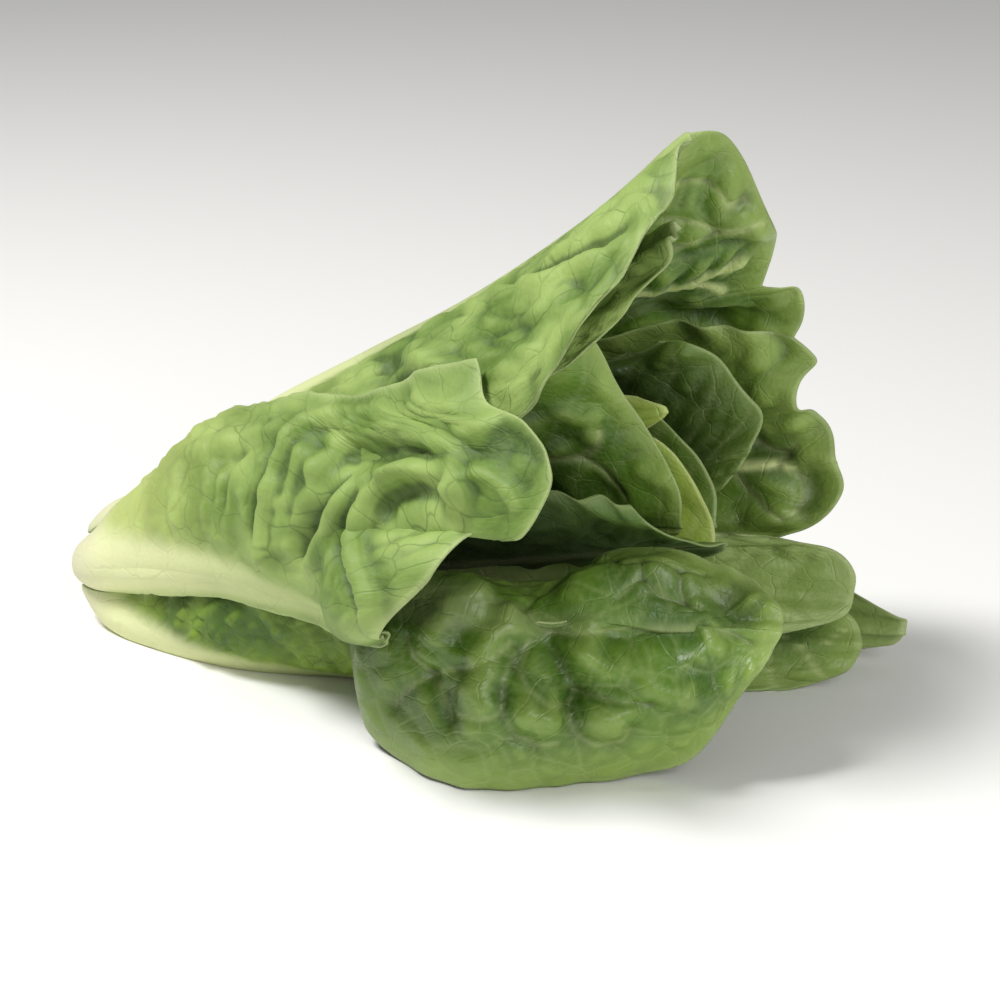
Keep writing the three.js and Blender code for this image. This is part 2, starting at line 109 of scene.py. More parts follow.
# The leaves, from the outside in. Every curve runs from the foot to the tip, in points of x, distance and
# angle where the leaf is placed around the middle line, or of x, y and z where it is placed straight. The
# bellies say how far each half swells outwards, and the waves the height, number and start of the large
# waves. A fold moves what is within reach of a place in u and v, and a ridge stands out along a line of them.
LEAVES = [{
    "name": "front_outer_leaf", "place": around, "round": 0.04, "rib_half": 15, "rib_deep": 4.5,
    "waves": [1.5, 4, 0.1], "bellies": [0, 2],
    "rib": [
        [-27, 14.5, 8], [-8, 18, 3], [15, 27, 1], [45, 36, -7], [75, 46, -16], [100, 57, -20], [119, 70, -17],
    ],
    "minus": [
        [-27, 14.5, -31], [-8, 18, -32], [15, 28, -22], [45, 37, -22], [75, 47, -28], [98, 59, -28],
        [120, 72, -23],
    ],
    "plus": [
        [-27, 14.5, 50], [-10, 24, 90], [12, 39, 103], [42, 47, 88], [80, 54, 62], [118, 65, 53],
        [147, 75, 48],
    ],
    "plus_tip": [
        [119, 70, -17], [129, 83, -9], [147, 84, -1], [157, 78, 5.5], [171, 84, 4.5], [180, 82, 15],
        [168, 79, 28], [152, 75, 36], [147, 75, 48],
    ],
    "folds": [
        {"at": [0.26, 0.9], "reach": [0.15, 0.12], "by": [-4, 5, 1]},
        {"at": [-1, 0.16], "reach": [0.4, 0.07], "by": [0, 0, -6]},
    ],
    "ridges": [
        {
            "line": [
                [-0.02, 0.93], [0.15, 0.84], [0.3, 0.765], [0.45, 0.735], [0.56, 0.735], [0.64, 0.77],
                [0.64, 0.84],
            ],
            "height": 7,
            "rise": 8,
            "fall": 20,
        },
        {"line": [[0.2, 0.6], [0.47, 0.575], [0.68, 0.6]], "height": 3, "rise": 7, "fall": 14},
    ],
}, {
    "name": "top_outer_leaf", "place": around, "round": 0.03, "rib_half": 12, "rib_deep": 4,
    "waves": [1.5, 3, 0.5], "bellies": [0, 0],
    "rib": [
        [-27, 14.5, 98], [0, 20, 102], [38, 40, 98], [76, 52, 96], [114, 64, 98], [150, 81, 100],
        [182, 101, 99],
    ],
    "minus": [
        [-27, 14.5, 66], [0, 19, 55], [38, 34, 40], [76, 45, 32], [118, 57, 28], [158, 69, 32], [190, 83, 62],
    ],
    "minus_tip": [[182, 101, 99], [188, 98, 88], [192, 92, 75], [190, 83, 62]],
    "plus": [
        [-27, 14.5, 130], [0, 24, 127], [38, 38, 134], [76, 53, 130], [114, 67, 127], [143, 82, 124],
        [162, 91, 118],
    ],
}, {
    "name": "back_top_leaf", "place": around, "round": 0.02, "rib_half": 9, "rib_deep": 4,
    "waves": [2, 3, 0.1], "bellies": [0, 2],
    "rib": [
        [-27, 14.5, 161], [0, 17, 158], [38, 32, 150], [80, 46, 145], [120, 56, 142], [160, 66, 141],
        [192, 72.5, 148],
    ],
    "minus": [
        [-27, 14.5, 136], [0, 15, 134], [38, 31, 119], [80, 47, 110], [124, 63, 104], [167, 83.5, 105],
        [177.5, 105.5, 103],
    ],
    "minus_tip": [[192, 72.5, 148], [200, 74, 135], [198, 80, 122], [190, 99, 108], [177.5, 105.5, 103]],
    "plus": [
        [-27, 14.5, 187], [0, 20, 188], [38, 35, 186], [80, 49, 184], [120, 60, 182], [160, 68, 176],
        [205, 70, 168],
    ],
    "plus_tip": [[192, 72.5, 148], [203, 72.4, 153], [206, 72.4, 160], [205, 70, 168]],
}, {
    "name": "back_outer_leaf", "place": around, "round": 0.1, "rib_half": 12, "rib_deep": 4.5,
    "waves": [3, 3, 0.3], "bellies": [3, 2],
    "rib": [
        [-27, 14.5, 227], [0, 22, 231], [45, 42, 229], [90, 62, 230], [140, 84, 231], [190, 102, 233],
        [246, 115, 235],
    ],
    "minus": [
        [-27, 14.5, 193], [0, 24, 199], [45, 46, 197], [90, 66, 198], [140, 86, 203], [190, 103, 215],
        [245, 105, 234],
    ],
    "plus": [
        [-27, 14.5, 256], [0, 21, 258], [45, 42, 251], [90, 64, 247], [140, 89, 240], [190, 112, 237],
        [243, 125, 236],
    ],
}, {
    "name": "bottom_leaf", "place": around, "round": 0.1, "rib_half": 12, "rib_deep": 4.5,
    "waves": [2, 3, 0.3], "bellies": [0, 3],
    "rib": [[-27, 15, -63], [-4, 30, -59], [36, 45, -63], [80, 55, -77], [125, 70.2, -82], [175, 85.5, -84]],
    "minus": [
        [-27, 14.5, -98], [-6, 27, -96], [35, 42, -102], [80, 54, -108], [125, 67, -103], [170, 81, -94],
    ],
    "plus": [[-27, 14.5, -37], [-4, 19, -38], [35, 30, -23], [75, 38, -27], [112, 50, -46], [160, 68, -66]],
}, {
    "name": "front_low_leaf", "place": straight, "round": 0.06, "rib_half": 9, "rib_deep": 2.5,
    "waves": [1.5, 3, 0.3], "bellies": [-2, -7],
    "rib": [
        [-22, -6, 20], [20, -20, 34], [60, -34, 46], [94, -45, 50], [122, -48, 47], [152, -46, 47],
        [180, -39, 49], [206, -31, 49], [229, -22, 48],
    ],
    "minus": [
        [-22, -5, 22], [20, -19, 37], [60, -30, 54], [94, -38, 58], [118, -31, 50], [148, -14, 47],
        [174, -9, 61], [203, -9, 61], [227, -11, 55],
    ],
    "plus": [
        [-22, -7, 17], [20, -19, 29], [60, -35, 39.5], [93, -43, 37], [106, -57, 6], [145, -68, 0],
        [176, -54, 0], [203, -35, 6], [222, -27, 30],
    ],
    "folds": [{"at": [-0.3, 0.53], "reach": [0.35, 0.06], "by": [0, -3, 8]}],
}, {
    "name": "back_under_leaf", "place": around, "round": 0.1, "rib_half": 9, "rib_deep": 3,
    "waves": [2, 3, 0.2], "bellies": [1, 0],
    "rib": [
        [-22, 6, 262], [25, 20, 262], [70, 38, 260], [110, 54, 256], [150, 70, 250], [190, 86, 245],
        [236, 101, 242],
    ],
    "minus": [
        [-22, 6, 240], [25, 20, 238], [70, 38, 236], [110, 53, 234], [150, 66, 231], [190, 80, 229],
        [230, 92, 233],
    ],
    "plus": [
        [-22, 6, 284], [25, 20, 282], [70, 38, 278], [110, 54, 272], [150, 69, 263], [196, 97, 253],
        [233, 114, 246],
    ],
}, {
    "name": "back_middle_leaf", "place": around, "round": 0.03, "rib_half": 10, "rib_deep": 3,
    "waves": [2, 3, 0.2], "bellies": [0, 0],
    "rib": [
        [-22, 6, 200], [20, 19, 202], [62, 33, 203], [100, 44, 202], [135, 53, 201], [170, 60, 201],
        [222, 64, 204],
    ],
    "minus": [
        [-22, 6, 170], [20, 19, 164], [62, 33, 156], [100, 45, 148], [135, 54, 143], [174, 57, 142],
        [217, 50, 157],
    ],
    "minus_tip": [
        [222, 64, 204], [219, 61, 196], [214, 56, 187], [211, 51, 180], [213, 48, 172], [220, 47, 166],
        [217, 50, 157],
    ],
    "plus": [
        [-22, 6, 226], [20, 19, 226], [62, 34, 226], [100, 46, 226], [135, 55, 226], [170, 63, 225],
        [212, 70, 224],
    ],
    "plus_tip": [[222, 64, 204], [224, 67, 213], [220, 70, 220], [212, 70, 224]],
}, {
    "name": "back_low_leaf", "place": around, "round": 0.1, "rib_half": 9, "rib_deep": 2.5,
    "waves": [2, 2.5, 0.6], "bellies": [0, 0],
    "rib": [
        [-10, 5, 245], [25, 15, 243], [70, 30, 242], [110, 44, 240], [150, 55, 239], [188, 66, 238],
        [233, 83, 238],
    ],
    "minus": [
        [-10, 5, 222], [25, 15, 221], [70, 28, 221], [110, 39, 222], [150, 46, 224], [183, 52, 226],
        [220, 61, 227],
    ],
    "minus_tip": [[233, 83, 238], [233, 77, 234], [228, 68, 230], [220, 61, 227]],
    "plus": [
        [-10, 5, 268], [25, 15, 266], [70, 31, 265], [110, 47, 262], [150, 58, 260], [188, 68, 256],
        [233, 90, 245],
    ],
}, {
    "name": "upper_inner_leaf", "place": around, "round": 0.1, "rib_half": 8, "rib_deep": 2,
    "waves": [2, 4, 0.2], "bellies": [0, 0],
    "rib": [[-20, 5, 80], [25, 22, 80], [70, 36, 78], [115, 50, 76], [155, 64, 76], [189, 76, 78]],
    "minus": [[-20, 5, 55], [25, 20, 52], [70, 33, 50], [115, 45, 48], [150, 54, 47], [178, 60, 56]],
    "minus_tip": [[189, 76, 78], [191, 74, 72], [186, 66, 64], [178, 60, 56]],
    "plus": [[-20, 5, 112], [25, 20, 112], [70, 34, 112], [115, 48, 110], [155, 62, 108], [182, 73, 104]],
}, {
    "name": "inner_back_leaf", "place": straight, "round": 0.03, "rib_half": 8, "rib_deep": 2,
    "waves": [2, 4, 0.1], "bellies": [2, 1],
    "rib": [
        [-10, 5, 28], [25, 13, 36], [65, 22, 45], [105, 31, 55], [140, 37, 62], [170, 40, 70], [198, 40, 82],
    ],
    "minus": [
        [-10, 4, 31], [25, 11, 50], [65, 16, 72], [105, 24, 93], [135, 29, 106], [155, 31, 108],
        [171, 33, 118],
    ],
    "minus_tip": [[198, 40, 82], [200, 40, 94], [191, 36, 106], [182, 33, 117], [171, 33, 118]],
    "plus": [
        [-10, 6, 25.5], [25, 13.5, 31], [65, 23, 37], [105, 32, 45], [140, 38, 52], [170, 41, 58],
        [190, 42, 66],
    ],
}, {
    "name": "inner_front_leaf", "place": straight, "round": 0.06, "rib_half": 8, "rib_deep": 2,
    "waves": [1, 3, 0.2], "bellies": [1, 3],
    "rib": [
        [-10, -3, 26], [30, -8, 32], [70, -10, 38], [110, -8, 44], [145, 0, 50], [176, 4, 56], [204, -1, 64],
    ],
    "minus": [
        [-10, 1, 24], [30, 2, 27], [70, 4, 32], [110, 6, 38], [145, 10, 44], [176, 12, 50], [200, 4, 57],
    ],
    "plus": [
        [-10, -4, 29], [30, -13, 42], [70, -24, 57], [110, -28, 71], [142, -24, 79], [165, -18, 81],
        [184, -16, 76],
    ],
    "plus_tip": [[204, -1, 64], [199, -6, 67], [191, -13, 71], [184, -16, 76]],
}, {
    "name": "centre_leaf", "place": straight, "round": 0.02, "rib_half": 7, "rib_deep": 2,
    "waves": [1.5, 3, 0.4], "bellies": [3, 0],
    "rib": [[-6, -1, 28], [30, -1, 38], [70, 0, 48], [110, 3, 56], [145, 6, 61], [170, 6, 63], [188, 3, 66]],
    "minus": [
        [-6, -3, 31], [30, -8, 50], [70, -15, 72], [105, -22, 94], [130, -26, 110], [150, -26, 124],
        [164, -20, 134],
    ],
    "minus_tip": [[188, 3, 66], [187, 0, 78], [177, -1, 94], [169, -5, 112], [166, -13, 126], [164, -20, 134]],
    "plus": [[-6, 1, 26], [30, 3, 33], [70, 6, 42], [110, 8, 49], [145, 10, 54], [170, 9, 57], [186, 5, 62]],
}, {
    "name": "yellow_inner_leaf", "place": straight, "round": 0.06, "rib_half": 6, "rib_deep": 1.5,
    "waves": [1, 3, 0.1], "bellies": [1, 0],
    "rib": [
        [2, 2.2, 31], [30, 4, 39], [70, 7, 49], [110, 11, 56], [145, 13, 60], [172, 12, 59], [197, 10, 57],
    ],
    "minus": [[2, 0.6, 34], [30, 1, 48], [70, 1, 66], [105, 4, 82], [130, 7, 92], [150, 9, 97], [168, 9, 94]],
    "minus_tip": [[197, 10, 57], [194, 11, 66], [188, 11, 79], [179, 10, 89], [168, 9, 94]],
    "plus": [
        [2, 3.2, 28], [30, 7, 34], [70, 12, 43], [110, 15, 50], [145, 17, 54], [172, 15, 54], [194, 12, 54],
    ],
}, {
    "name": "heart_leaf", "place": straight, "round": 0.06, "rib_half": 5, "rib_deep": 1,
    "waves": [0.8, 3, 0.3], "bellies": [0, 0],
    "rib": [[14, 2.8, 41], [40, 6, 51], [75, 9, 64], [115, 12, 78], [150, 14, 90], [178, 15, 99]],
    "minus": [[14, 2.6, 42.5], [40, 4.5, 57], [75, 7, 74], [115, 10, 90], [148, 12, 101], [176, 13, 103]],
    "plus": [[14, 3, 39.5], [40, 7, 46], [75, 10, 57], [115, 13, 69], [150, 15, 81], [176, 16, 95]],
}, {
    "name": "upper_heart_leaf", "place": around, "round": 0.1, "rib_half": 5, "rib_deep": 1.5,
    "waves": [1.5, 3, 0.2], "bellies": [0, 0],
    "rib": [[0, 8, 95], [30, 17, 94], [70, 26, 93], [105, 33, 92], [138, 39, 93]],
    "minus": [[0, 7, 74], [30, 15, 72], [70, 23, 68], [105, 28, 66], [130, 32, 76]],
    "plus": [[0, 8, 114], [30, 18, 104], [70, 27, 104], [105, 33, 112], [130, 37, 106]],
}, {
    "name": "dim_inner_leaf", "place": straight, "round": 0.06, "rib_half": 6, "rib_deep": 1.5,
    "waves": [1, 3, 0.3], "bellies": [1, 0],
    "rib": [
        [7, 4.8, 36], [30, 10, 38], [70, 16, 47], [110, 21, 54], [145, 24, 58], [172, 24, 60], [193, 22, 60],
    ],
    "minus": [
        [7, 4.3, 39], [30, 7, 52], [70, 11, 70], [105, 15, 86], [130, 18, 96], [150, 20, 100], [170, 21, 97],
    ],
    "minus_tip": [[193, 22, 60], [191, 23, 71], [185, 23, 83], [177, 22, 91], [170, 21, 97]],
    "plus": [
        [7, 5.3, 33], [30, 11, 33], [70, 18, 41], [110, 24, 48], [145, 27, 52], [172, 26, 55], [190, 23, 57],
    ],
}]

# Creases, ridges and veins of the faces that show, and patches of painted shade: height, width, how pale, and
# the places in u and v they run through. A height above 0 stands out of the face that shows. A paleness below 0
# is a patch of painted shade.
MARKS = {
    "front_outer_leaf": [
        (2.4, 4, 0, [[0.73, 0.63], [0.6, 0.61], [0.5, 0.61], [0.35, 0.61], [0.23, 0.62]]),
        (-2, 2.6, 0, [[0.66, 0.6], [0.57, 0.6], [0.47, 0.59], [0.32, 0.59]]),
        (2.4, 4, 0, [
            [0.73, 0.63], [0.82, 0.66], [0.9, 0.71], [0.9, 0.77], [0.79, 0.8], [0.71, 0.83], [0.65, 0.86],
            [0.59, 0.87],
        ]),
        (-3.6, 4.6, 0, [[0.7, 0.7], [0.69, 0.74], [0.68, 0.78], [0.69, 0.81], [0.67, 0.84], [0.62, 0.86]]),
        (2.6, 4, 0, [[0.64, 0.79], [0.6, 0.76], [0.55, 0.74], [0.5, 0.72], [0.32, 0.73], [0.25, 0.71]]),
        (-2.4, 3, 0, [[0.59, 0.71], [0.53, 0.7], [0.44, 0.69], [0.26, 0.69]]),
        (3, 4, 0, [
            [0.57, 0.87], [0.62, 0.85], [0.64, 0.82], [0.64, 0.79], [0.6, 0.77], [0.54, 0.76], [0.49, 0.76],
            [0.3, 0.81], [0.25, 0.86], [0.2, 0.93], [0.13, 0.99],
        ]),
        (-2.8, 3.2, 0, [[0.6, 0.76], [0.54, 0.74], [0.49, 0.74], [0.3, 0.78], [0.24, 0.84], [0.19, 0.91]]),
        (-2.2, 5, 0, [[0.59, 0.84], [0.59, 0.81], [0.57, 0.78], [0.53, 0.78]]),
        (1.6, 2.6, 0, [[0.56, 0.88], [0.61, 0.86], [0.64, 0.88], [0.62, 0.91], [0.6, 0.93], [0.57, 0.95]]),
        (1.6, 3, 0, [[0.63, 0.67], [0.55, 0.67], [0.46, 0.66], [0.29, 0.66]]),
        (1.4, 3, 0, [[0.69, 0.65], [0.57, 0.64], [0.47, 0.64], [0.28, 0.64]]),
        (2, 4, 0, [[0.7, 0.69], [0.62, 0.67]]),
        (1.6, 3.4, 0, [[0.83, 0.73], [0.79, 0.75], [0.77, 0.78]]),
        (1, 2.6, 0, [[0.55, 0.54], [0.43, 0.54], [0.24, 0.53]]),
        (1, 2.6, 0, [[0.57, 0.47], [0.43, 0.48], [0.27, 0.48]]),
        (0.8, 2.2, 0, [[0.51, 0.51], [0.37, 0.51], [0.24, 0.51]]),
        (0.8, 3.2, 0, [[0.64, 0.38], [0.45, 0.39], [0.28, 0.4]]),
        (1.4, 4.5, 0, [[0.64, 0.41], [0.69, 0.5], [0.77, 0.59], [0.86, 0.66]]),
        (-1.6, 4, 0, [[0.58, 0.48], [0.67, 0.55], [0.73, 0.63]]),
        (1.6, 5, 0, [[0.89, 0.86], [0.84, 0.92], [0.74, 0.91]]),
        (-1.4, 5, 0, [[0.69, 0.89], [0.72, 0.94], [0.68, 0.98]]),
        (0, 10, -0.7, [[0.61, 0.63], [0.52, 0.66], [0.34, 0.69]]),
        (0, 9, -0.8, [[0.72, 0.94], [0.69, 0.96], [0.65, 0.96]]),
        (0, 9, -0.5, [[0.51, 0.79], [0.31, 0.91]]),
    ],
    "top_outer_leaf": [
        (-2.6, 3.2, 0, [[-0.11, 0.67], [-0.26, 0.73], [-0.33, 0.77]]),
        (-3.2, 3.6, 0, [[-0.38, 0.8], [-0.45, 0.84], [-0.56, 0.91], [-0.6, 0.94]]),
        (2, 3.4, 0, [[-0.28, 0.7], [-0.44, 0.78], [-0.5, 0.83], [-0.59, 0.9], [-0.79, 0.98]]),
        (-3, 4.5, 0, [[-0.36, 0.57], [-0.43, 0.61]]),
        (-2.6, 4.5, 0, [[-0.59, 0.61], [-0.66, 0.67]]),
        (2, 3, 0, [[-0.47, 0.63], [-0.57, 0.67], [-0.65, 0.7]]),
        (2, 3, 0, [[-0.71, 0.68], [-0.69, 0.71], [-0.68, 0.72]]),
        (1.4, 6, 0, [[-0.72, 0.8], [-0.87, 0.9], [-0.99, 0.97]]),
        (-1.2, 6, 0, [[-0.58, 0.73], [-0.59, 0.77], [-0.69, 0.84]]),
        (1.4, 6, 0, [[-0.54, 0.81], [-0.79, 0.9], [-1, 0.98]]),
        (-1.2, 7, 0, [[-0.73, 0.99], [-0.61, 1]]),
        (1, 5, 0, [[-0.63, 0.94], [-0.65, 0.98]]),
        (0, 9, -1, [[-0.25, 0.57], [-0.64, 0.65]]),
        (0, 7, -0.4, [[-0.31, 0.96], [-0.62, 0.99]]),
    ],
    "back_top_leaf": [
        (1.2, 1.7, 1, [[-0.33, 0.78], [-0.2, 0.82], [-0.14, 0.86], [-0.17, 0.88], [-0.18, 0.9], [-0.2, 0.94]]),
        (0.8, 1.3, 1, [[-0.14, 0.86], [-0.08, 0.9], [-0.03, 0.93]]),
        (-1, 1.3, 0.6, [[-0.87, 0.88], [-0.71, 0.91], [-0.64, 0.93], [-0.6, 0.93], [-0.57, 0.97]]),
        (-1, 1.3, 0.6, [
            [-0.69, 0.83], [-0.64, 0.85], [-0.6, 0.87], [-0.53, 0.9], [-0.51, 0.94], [-0.47, 0.98],
        ]),
        (-1, 1.3, 0.6, [[-0.56, 0.82], [-0.53, 0.86], [-0.51, 0.9], [-0.48, 0.95]]),
        (-2.6, 5, 0, [[-0.47, 0.85], [-0.44, 0.9], [-0.35, 0.94]]),
        (2.4, 5, 0, [[-0.5, 0.96], [-0.37, 0.97]]),
        (2, 5, 0, [[-0.58, 0.92], [-0.66, 0.96]]),
        (-2.4, 5, 0, [[0.1, 0.83], [0.39, 0.86], [0.56, 0.92]]),
        (2.4, 5, 0, [[0.04, 0.89], [0.35, 0.92], [0.4, 0.96]]),
        (2, 4, 0, [[0.67, 0.94], [0.86, 0.99]]),
    ],
    "back_middle_leaf": [
        (1, 1.6, 1, [[-0.01, 0.89], [-0.01, 0.92], [-0.01, 0.94], [0.04, 0.95]]),
        (-0.9, 1.2, 0.6, [[0.04, 0.95], [0.16, 0.96], [0.37, 0.96], [0.53, 0.96], [0.61, 0.95]]),
        (-0.9, 1.2, 0.6, [[-0.01, 0.89], [0.21, 0.9], [0.45, 0.92], [0.61, 0.95]]),
        (-0.9, 1.2, 0.6, [[-0.01, 0.94], [-0.06, 0.95], [-0.12, 0.96]]),
        (-0.9, 1.2, 0.6, [[-0.17, 0.91], [-0.1, 0.93], [-0.06, 0.95]]),
        (2.4, 5, 0, [[-0.24, 0.94], [-0.26, 0.97]]),
        (2, 5, 0, [[-0.07, 0.97], [-0.02, 0.99]]),
        (-2.4, 6, 0, [[0.16, 0.97], [0.44, 0.97]]),
        (-2, 6, 0, [[-0.12, 0.92], [-0.05, 0.94]]),
        (1.6, 5, 0, [[0.17, 0.92], [0.41, 0.94]]),
        (1.8, 5, 0, [[-0.79, 0.93], [-0.64, 0.99], [-0.53, 1]]),
        (0, 10, -0.6, [[0.16, 0.91], [0.53, 0.93]]),
    ],
    "front_low_leaf": [
        (-0.5, 1.5, 0.3, [
            [-0.1, 0.63], [0.05, 0.67], [0.08, 0.71], [0.05, 0.75], [0.02, 0.78], [-0.01, 0.81], [-0.04, 0.85],
            [-0.03, 0.88],
        ]),
        (-3.2, 5, 0, [[0.12, 0.76], [0.08, 0.8], [0.05, 0.83], [0.05, 0.86]]),
        (-3.6, 6.5, 0, [[0.12, 0.68], [0.26, 0.7], [0.4, 0.73]]),
        (2.4, 5, 0, [[0.17, 0.73], [0.24, 0.78], [0.27, 0.81], [0.38, 0.86]]),
        (-0.9, 1.5, 0.2, [[0.39, 0.72], [0.44, 0.76], [0.45, 0.79], [0.45, 0.82]]),
        (-0.9, 1.5, 0.2, [[-0.06, 0.63], [-0.49, 0.65], [-0.9, 0.68], [-0.96, 0.72], [-0.7, 0.75]]),
        (-0.8, 1.3, 0.2, [[-0.7, 0.75], [-0.57, 0.76], [-0.6, 0.79], [-0.62, 0.84], [-0.73, 0.88]]),
        (-0.8, 1.3, 0.2, [[-0.6, 0.79], [-0.42, 0.79], [-0.3, 0.81], [-0.31, 0.83], [-0.26, 0.87]]),
        (-0.8, 1.3, 0.2, [[-0.22, 0.76], [-0.37, 0.78], [-0.42, 0.79]]),
        (-0.8, 1.3, 0.2, [[-0.62, 0.84], [-0.4, 0.84], [-0.3, 0.85]]),
        (-0.9, 1.5, 0.2, [[-0.03, 0.88], [0.04, 0.91], [0.16, 0.96]]),
        (-1.08, 3, 0.35, [[0.12, 0.63], [0.22, 0.62], [0.3, 0.6], [0.38, 0.56], [0.31, 0.53], [0.22, 0.51]]),
        (-0.96, 3, 0.35, [[0.38, 0.56], [0.48, 0.58], [0.62, 0.6]]),
        (-0.96, 3, 0.35, [[0.39, 0.56], [0.53, 0.54], [0.68, 0.53]]),
        (-1.2, 3.25, 0.25, [[0.18, 0.64], [0.35, 0.64], [0.53, 0.65], [0.64, 0.67], [0.7, 0.7], [0.69, 0.72]]),
        (-1.08, 3, 0.25, [[0.11, 0.65], [0.27, 0.65], [0.39, 0.67], [0.48, 0.7], [0.47, 0.71]]),
        (-1.2, 3.25, 0.25, [[0.45, 0.72], [0.53, 0.72], [0.64, 0.74], [0.72, 0.77], [0.7, 0.8], [0.62, 0.8]]),
        (-0.84, 2.75, 0.25, [[0.32, 0.59], [0.45, 0.59], [0.58, 0.6], [0.59, 0.63], [0.53, 0.65]]),
        (3.4, 6, 0, [[0.1, 0.54], [0.01, 0.55], [-0.09, 0.57]]),
        (3.2, 6, 0, [[0.23, 0.61], [0.08, 0.61], [0.02, 0.62]]),
        (2.6, 6, 0, [[0.44, 0.62], [0.51, 0.63]]),
        (2.6, 6, 0, [[0.52, 0.68], [0.54, 0.7]]),
        (2.8, 6.5, 0, [[0.54, 0.76], [0.56, 0.78]]),
        (3, 8, 0, [[-0.39, 0.71], [-0.47, 0.76], [-0.57, 0.81]]),
        (1.8, 5, 0, [[0.21, 0.87], [0.13, 0.9]]),
        (1.8, 5, 0, [[0.39, 0.81], [0.45, 0.86]]),
        (-2, 6, 0, [[-0.41, 0.91], [-0.08, 0.93]]),
        (0, 7, -1.2, [[-0.63, 0.93], [-0.34, 0.95]]),
        (0, 8, -0.6, [[-0.78, 0.76], [-0.52, 0.81]]),
    ],
    "upper_inner_leaf": [
        (0, 9, -1.2, [[0.04, 0.93], [0.05, 0.98]]),
    ],
    "centre_leaf": [
        (-0.8, 1.2, 0.6, [[-0.41, 0.7], [-0.37, 0.78], [-0.32, 0.81], [-0.24, 0.82], [-0.18, 0.83]]),
        (-0.8, 1.2, 0.6, [[-0.37, 0.78], [-0.42, 0.84], [-0.48, 0.87]]),
        (2, 4.5, 0, [[-0.61, 0.82], [-0.54, 0.88], [-0.47, 0.85]]),
        (-1.8, 5, 0, [[-0.49, 0.77], [-0.43, 0.79]]),
        (1.6, 4, 0, [[-0.3, 0.92], [-0.26, 0.95]]),
        (1.6, 5, 0, [[-0.66, 0.96], [-0.56, 0.96]]),
        (-1.8, 5, 0, [[-0.25, 0.77], [-0.17, 0.8]]),
    ],
}


def smooth(low, high, x):
    t = np.clip((x - low) / (high - low), 0, 1)
    return t * t * (3 - 2 * t)


def hump(distance, width):
    """1 on a line, falling away smoothly to the sides."""
    return np.exp(-((distance / width) ** 2))


def along(points, t):
    """The points at t, from 0 to 1, of a smooth curve through evenly spaced points."""
    points = np.asarray(points, float)
    n = len(points) - 1
    s = np.clip(t, 0, 1) * n
    i = np.minimum(np.floor(s).astype(int), n - 1)
    f = (s - i)[..., None]
    b = points[i]
    c = points[i + 1]
    a = np.where((i > 0)[..., None], points[np.maximum(i - 1, 0)], 2 * b - c)
    d = np.where((i + 2 <= n)[..., None], points[np.minimum(i + 2, n)], 2 * c - b)
    return b + 0.5 * f * (c - a + f * (2 * a - 5 * b + 4 * c - d + f * (3 * (b - c) + d - a)))


def half_point(leaf, side, t, v):
    """One half of the plain blade: spanned from rib to margin, the last part drawn to its tip line."""
    t = np.abs(t)
    reached = v - leaf["round"] * t**4 * smooth(0.4, 1, v)
    rib = along(leaf["rib"], reached)
    margin = along(leaf[side], reached)
    p = rib + (margin - rib) * t[..., None]
    if side + "_tip" in leaf:
        rib_end, margin_end = np.array([leaf["rib"][-1], leaf[side][-1]], float)
        straight_end = rib_end + (margin_end - rib_end) * t[..., None]
        p += smooth(0.5, 1, v)[..., None] * (along(leaf[side + "_tip"], t) - straight_end)
    return p


def plain_point(leaf, u, v):
    """The middle surface before its waves: u is -1 to 1 across the blade, v 0 to 1 from foot to tip."""
    p = np.where((u < 0)[..., None], half_point(leaf, "minus", u, v), half_point(leaf, "plus", u, v))
    for fold in leaf.get("folds", []):
        far = ((u - fold["at"][0]) / fold["reach"][0]) ** 2 + ((v - fold["at"][1]) / fold["reach"][1]) ** 2
        p += np.exp(-far)[..., None] * fold["by"]
    return leaf["place"](*np.moveaxis(p, -1, 0))


def half_width(leaf, u, v):
    """How far the margin is from the rib, on the side that u is on."""
    rib, minus, plus = (
        leaf["place"](*np.moveaxis(along(leaf[line], v), -1, 0)) for line in ("rib", "minus", "plus")
    )
    return np.linalg.norm(np.where((u < 0)[..., None], minus, plus) - rib, axis=-1)


def ridge_height(leaf, u, v):
    """How far the ridges of a leaf push it out: each rises over a short way on the foot's side of its line."""
    out = np.zeros(u.shape)
    p = np.stack([v, u], -1) * RIDGE_SIZE
    for ridge in leaf.get("ridges", []):
        points = np.array([[b, a] for a, b in ridge["line"]]) * RIDGE_SIZE
        nearest = np.full(u.shape, np.inf)
        side = np.zeros(u.shape)
        for start, end in zip(points[:-1], points[1:]):
            line = end - start
            away = p - start
            share = np.clip(away @ line / (line @ line), 0, 1)
            distance = np.maximum(np.linalg.norm(away - share[..., None] * line, axis=-1), 1e-6)
            turn = (line[0] * away[..., 1] - line[1] * away[..., 0]) / (np.linalg.norm(line) * distance)
            closer = distance < nearest
            side = np.where(closer, smooth(-0.7, 0.7, turn), side)
            nearest = np.where(closer, distance, nearest)
        width = ridge["fall"] + (ridge["rise"] - ridge["fall"]) * side
        out += ridge["height"] * hump(nearest, width)
    return out


def relief(leaf, u, v):
    """How far the blade is moved towards its inner face by its hollow and the large waves of margin and tip."""
    t = np.abs(u)
    amount, count, phase = leaf["waves"]
    belly = np.where(u < 0, *leaf["bellies"])
    share = np.minimum(1, half_width(leaf, u, v) / FULL_WIDTH)
    hollow = -belly * 4 * t * (1 - t) * smooth(0, 0.4, v)
    turn = 2 * math.pi
    ahead = np.where(u < 0, MINUS_AHEAD, 0)
    edge = amount * t**3 * smooth(0.15, 0.5, v) * np.sin(turn * (count * v + phase + ahead))
    tip = amount * smooth(0.7, 1, v) * np.sin(turn * (TIP_WAVES * count * u + phase))
    return share * (hollow + edge + tip) - ridge_height(leaf, u, v)


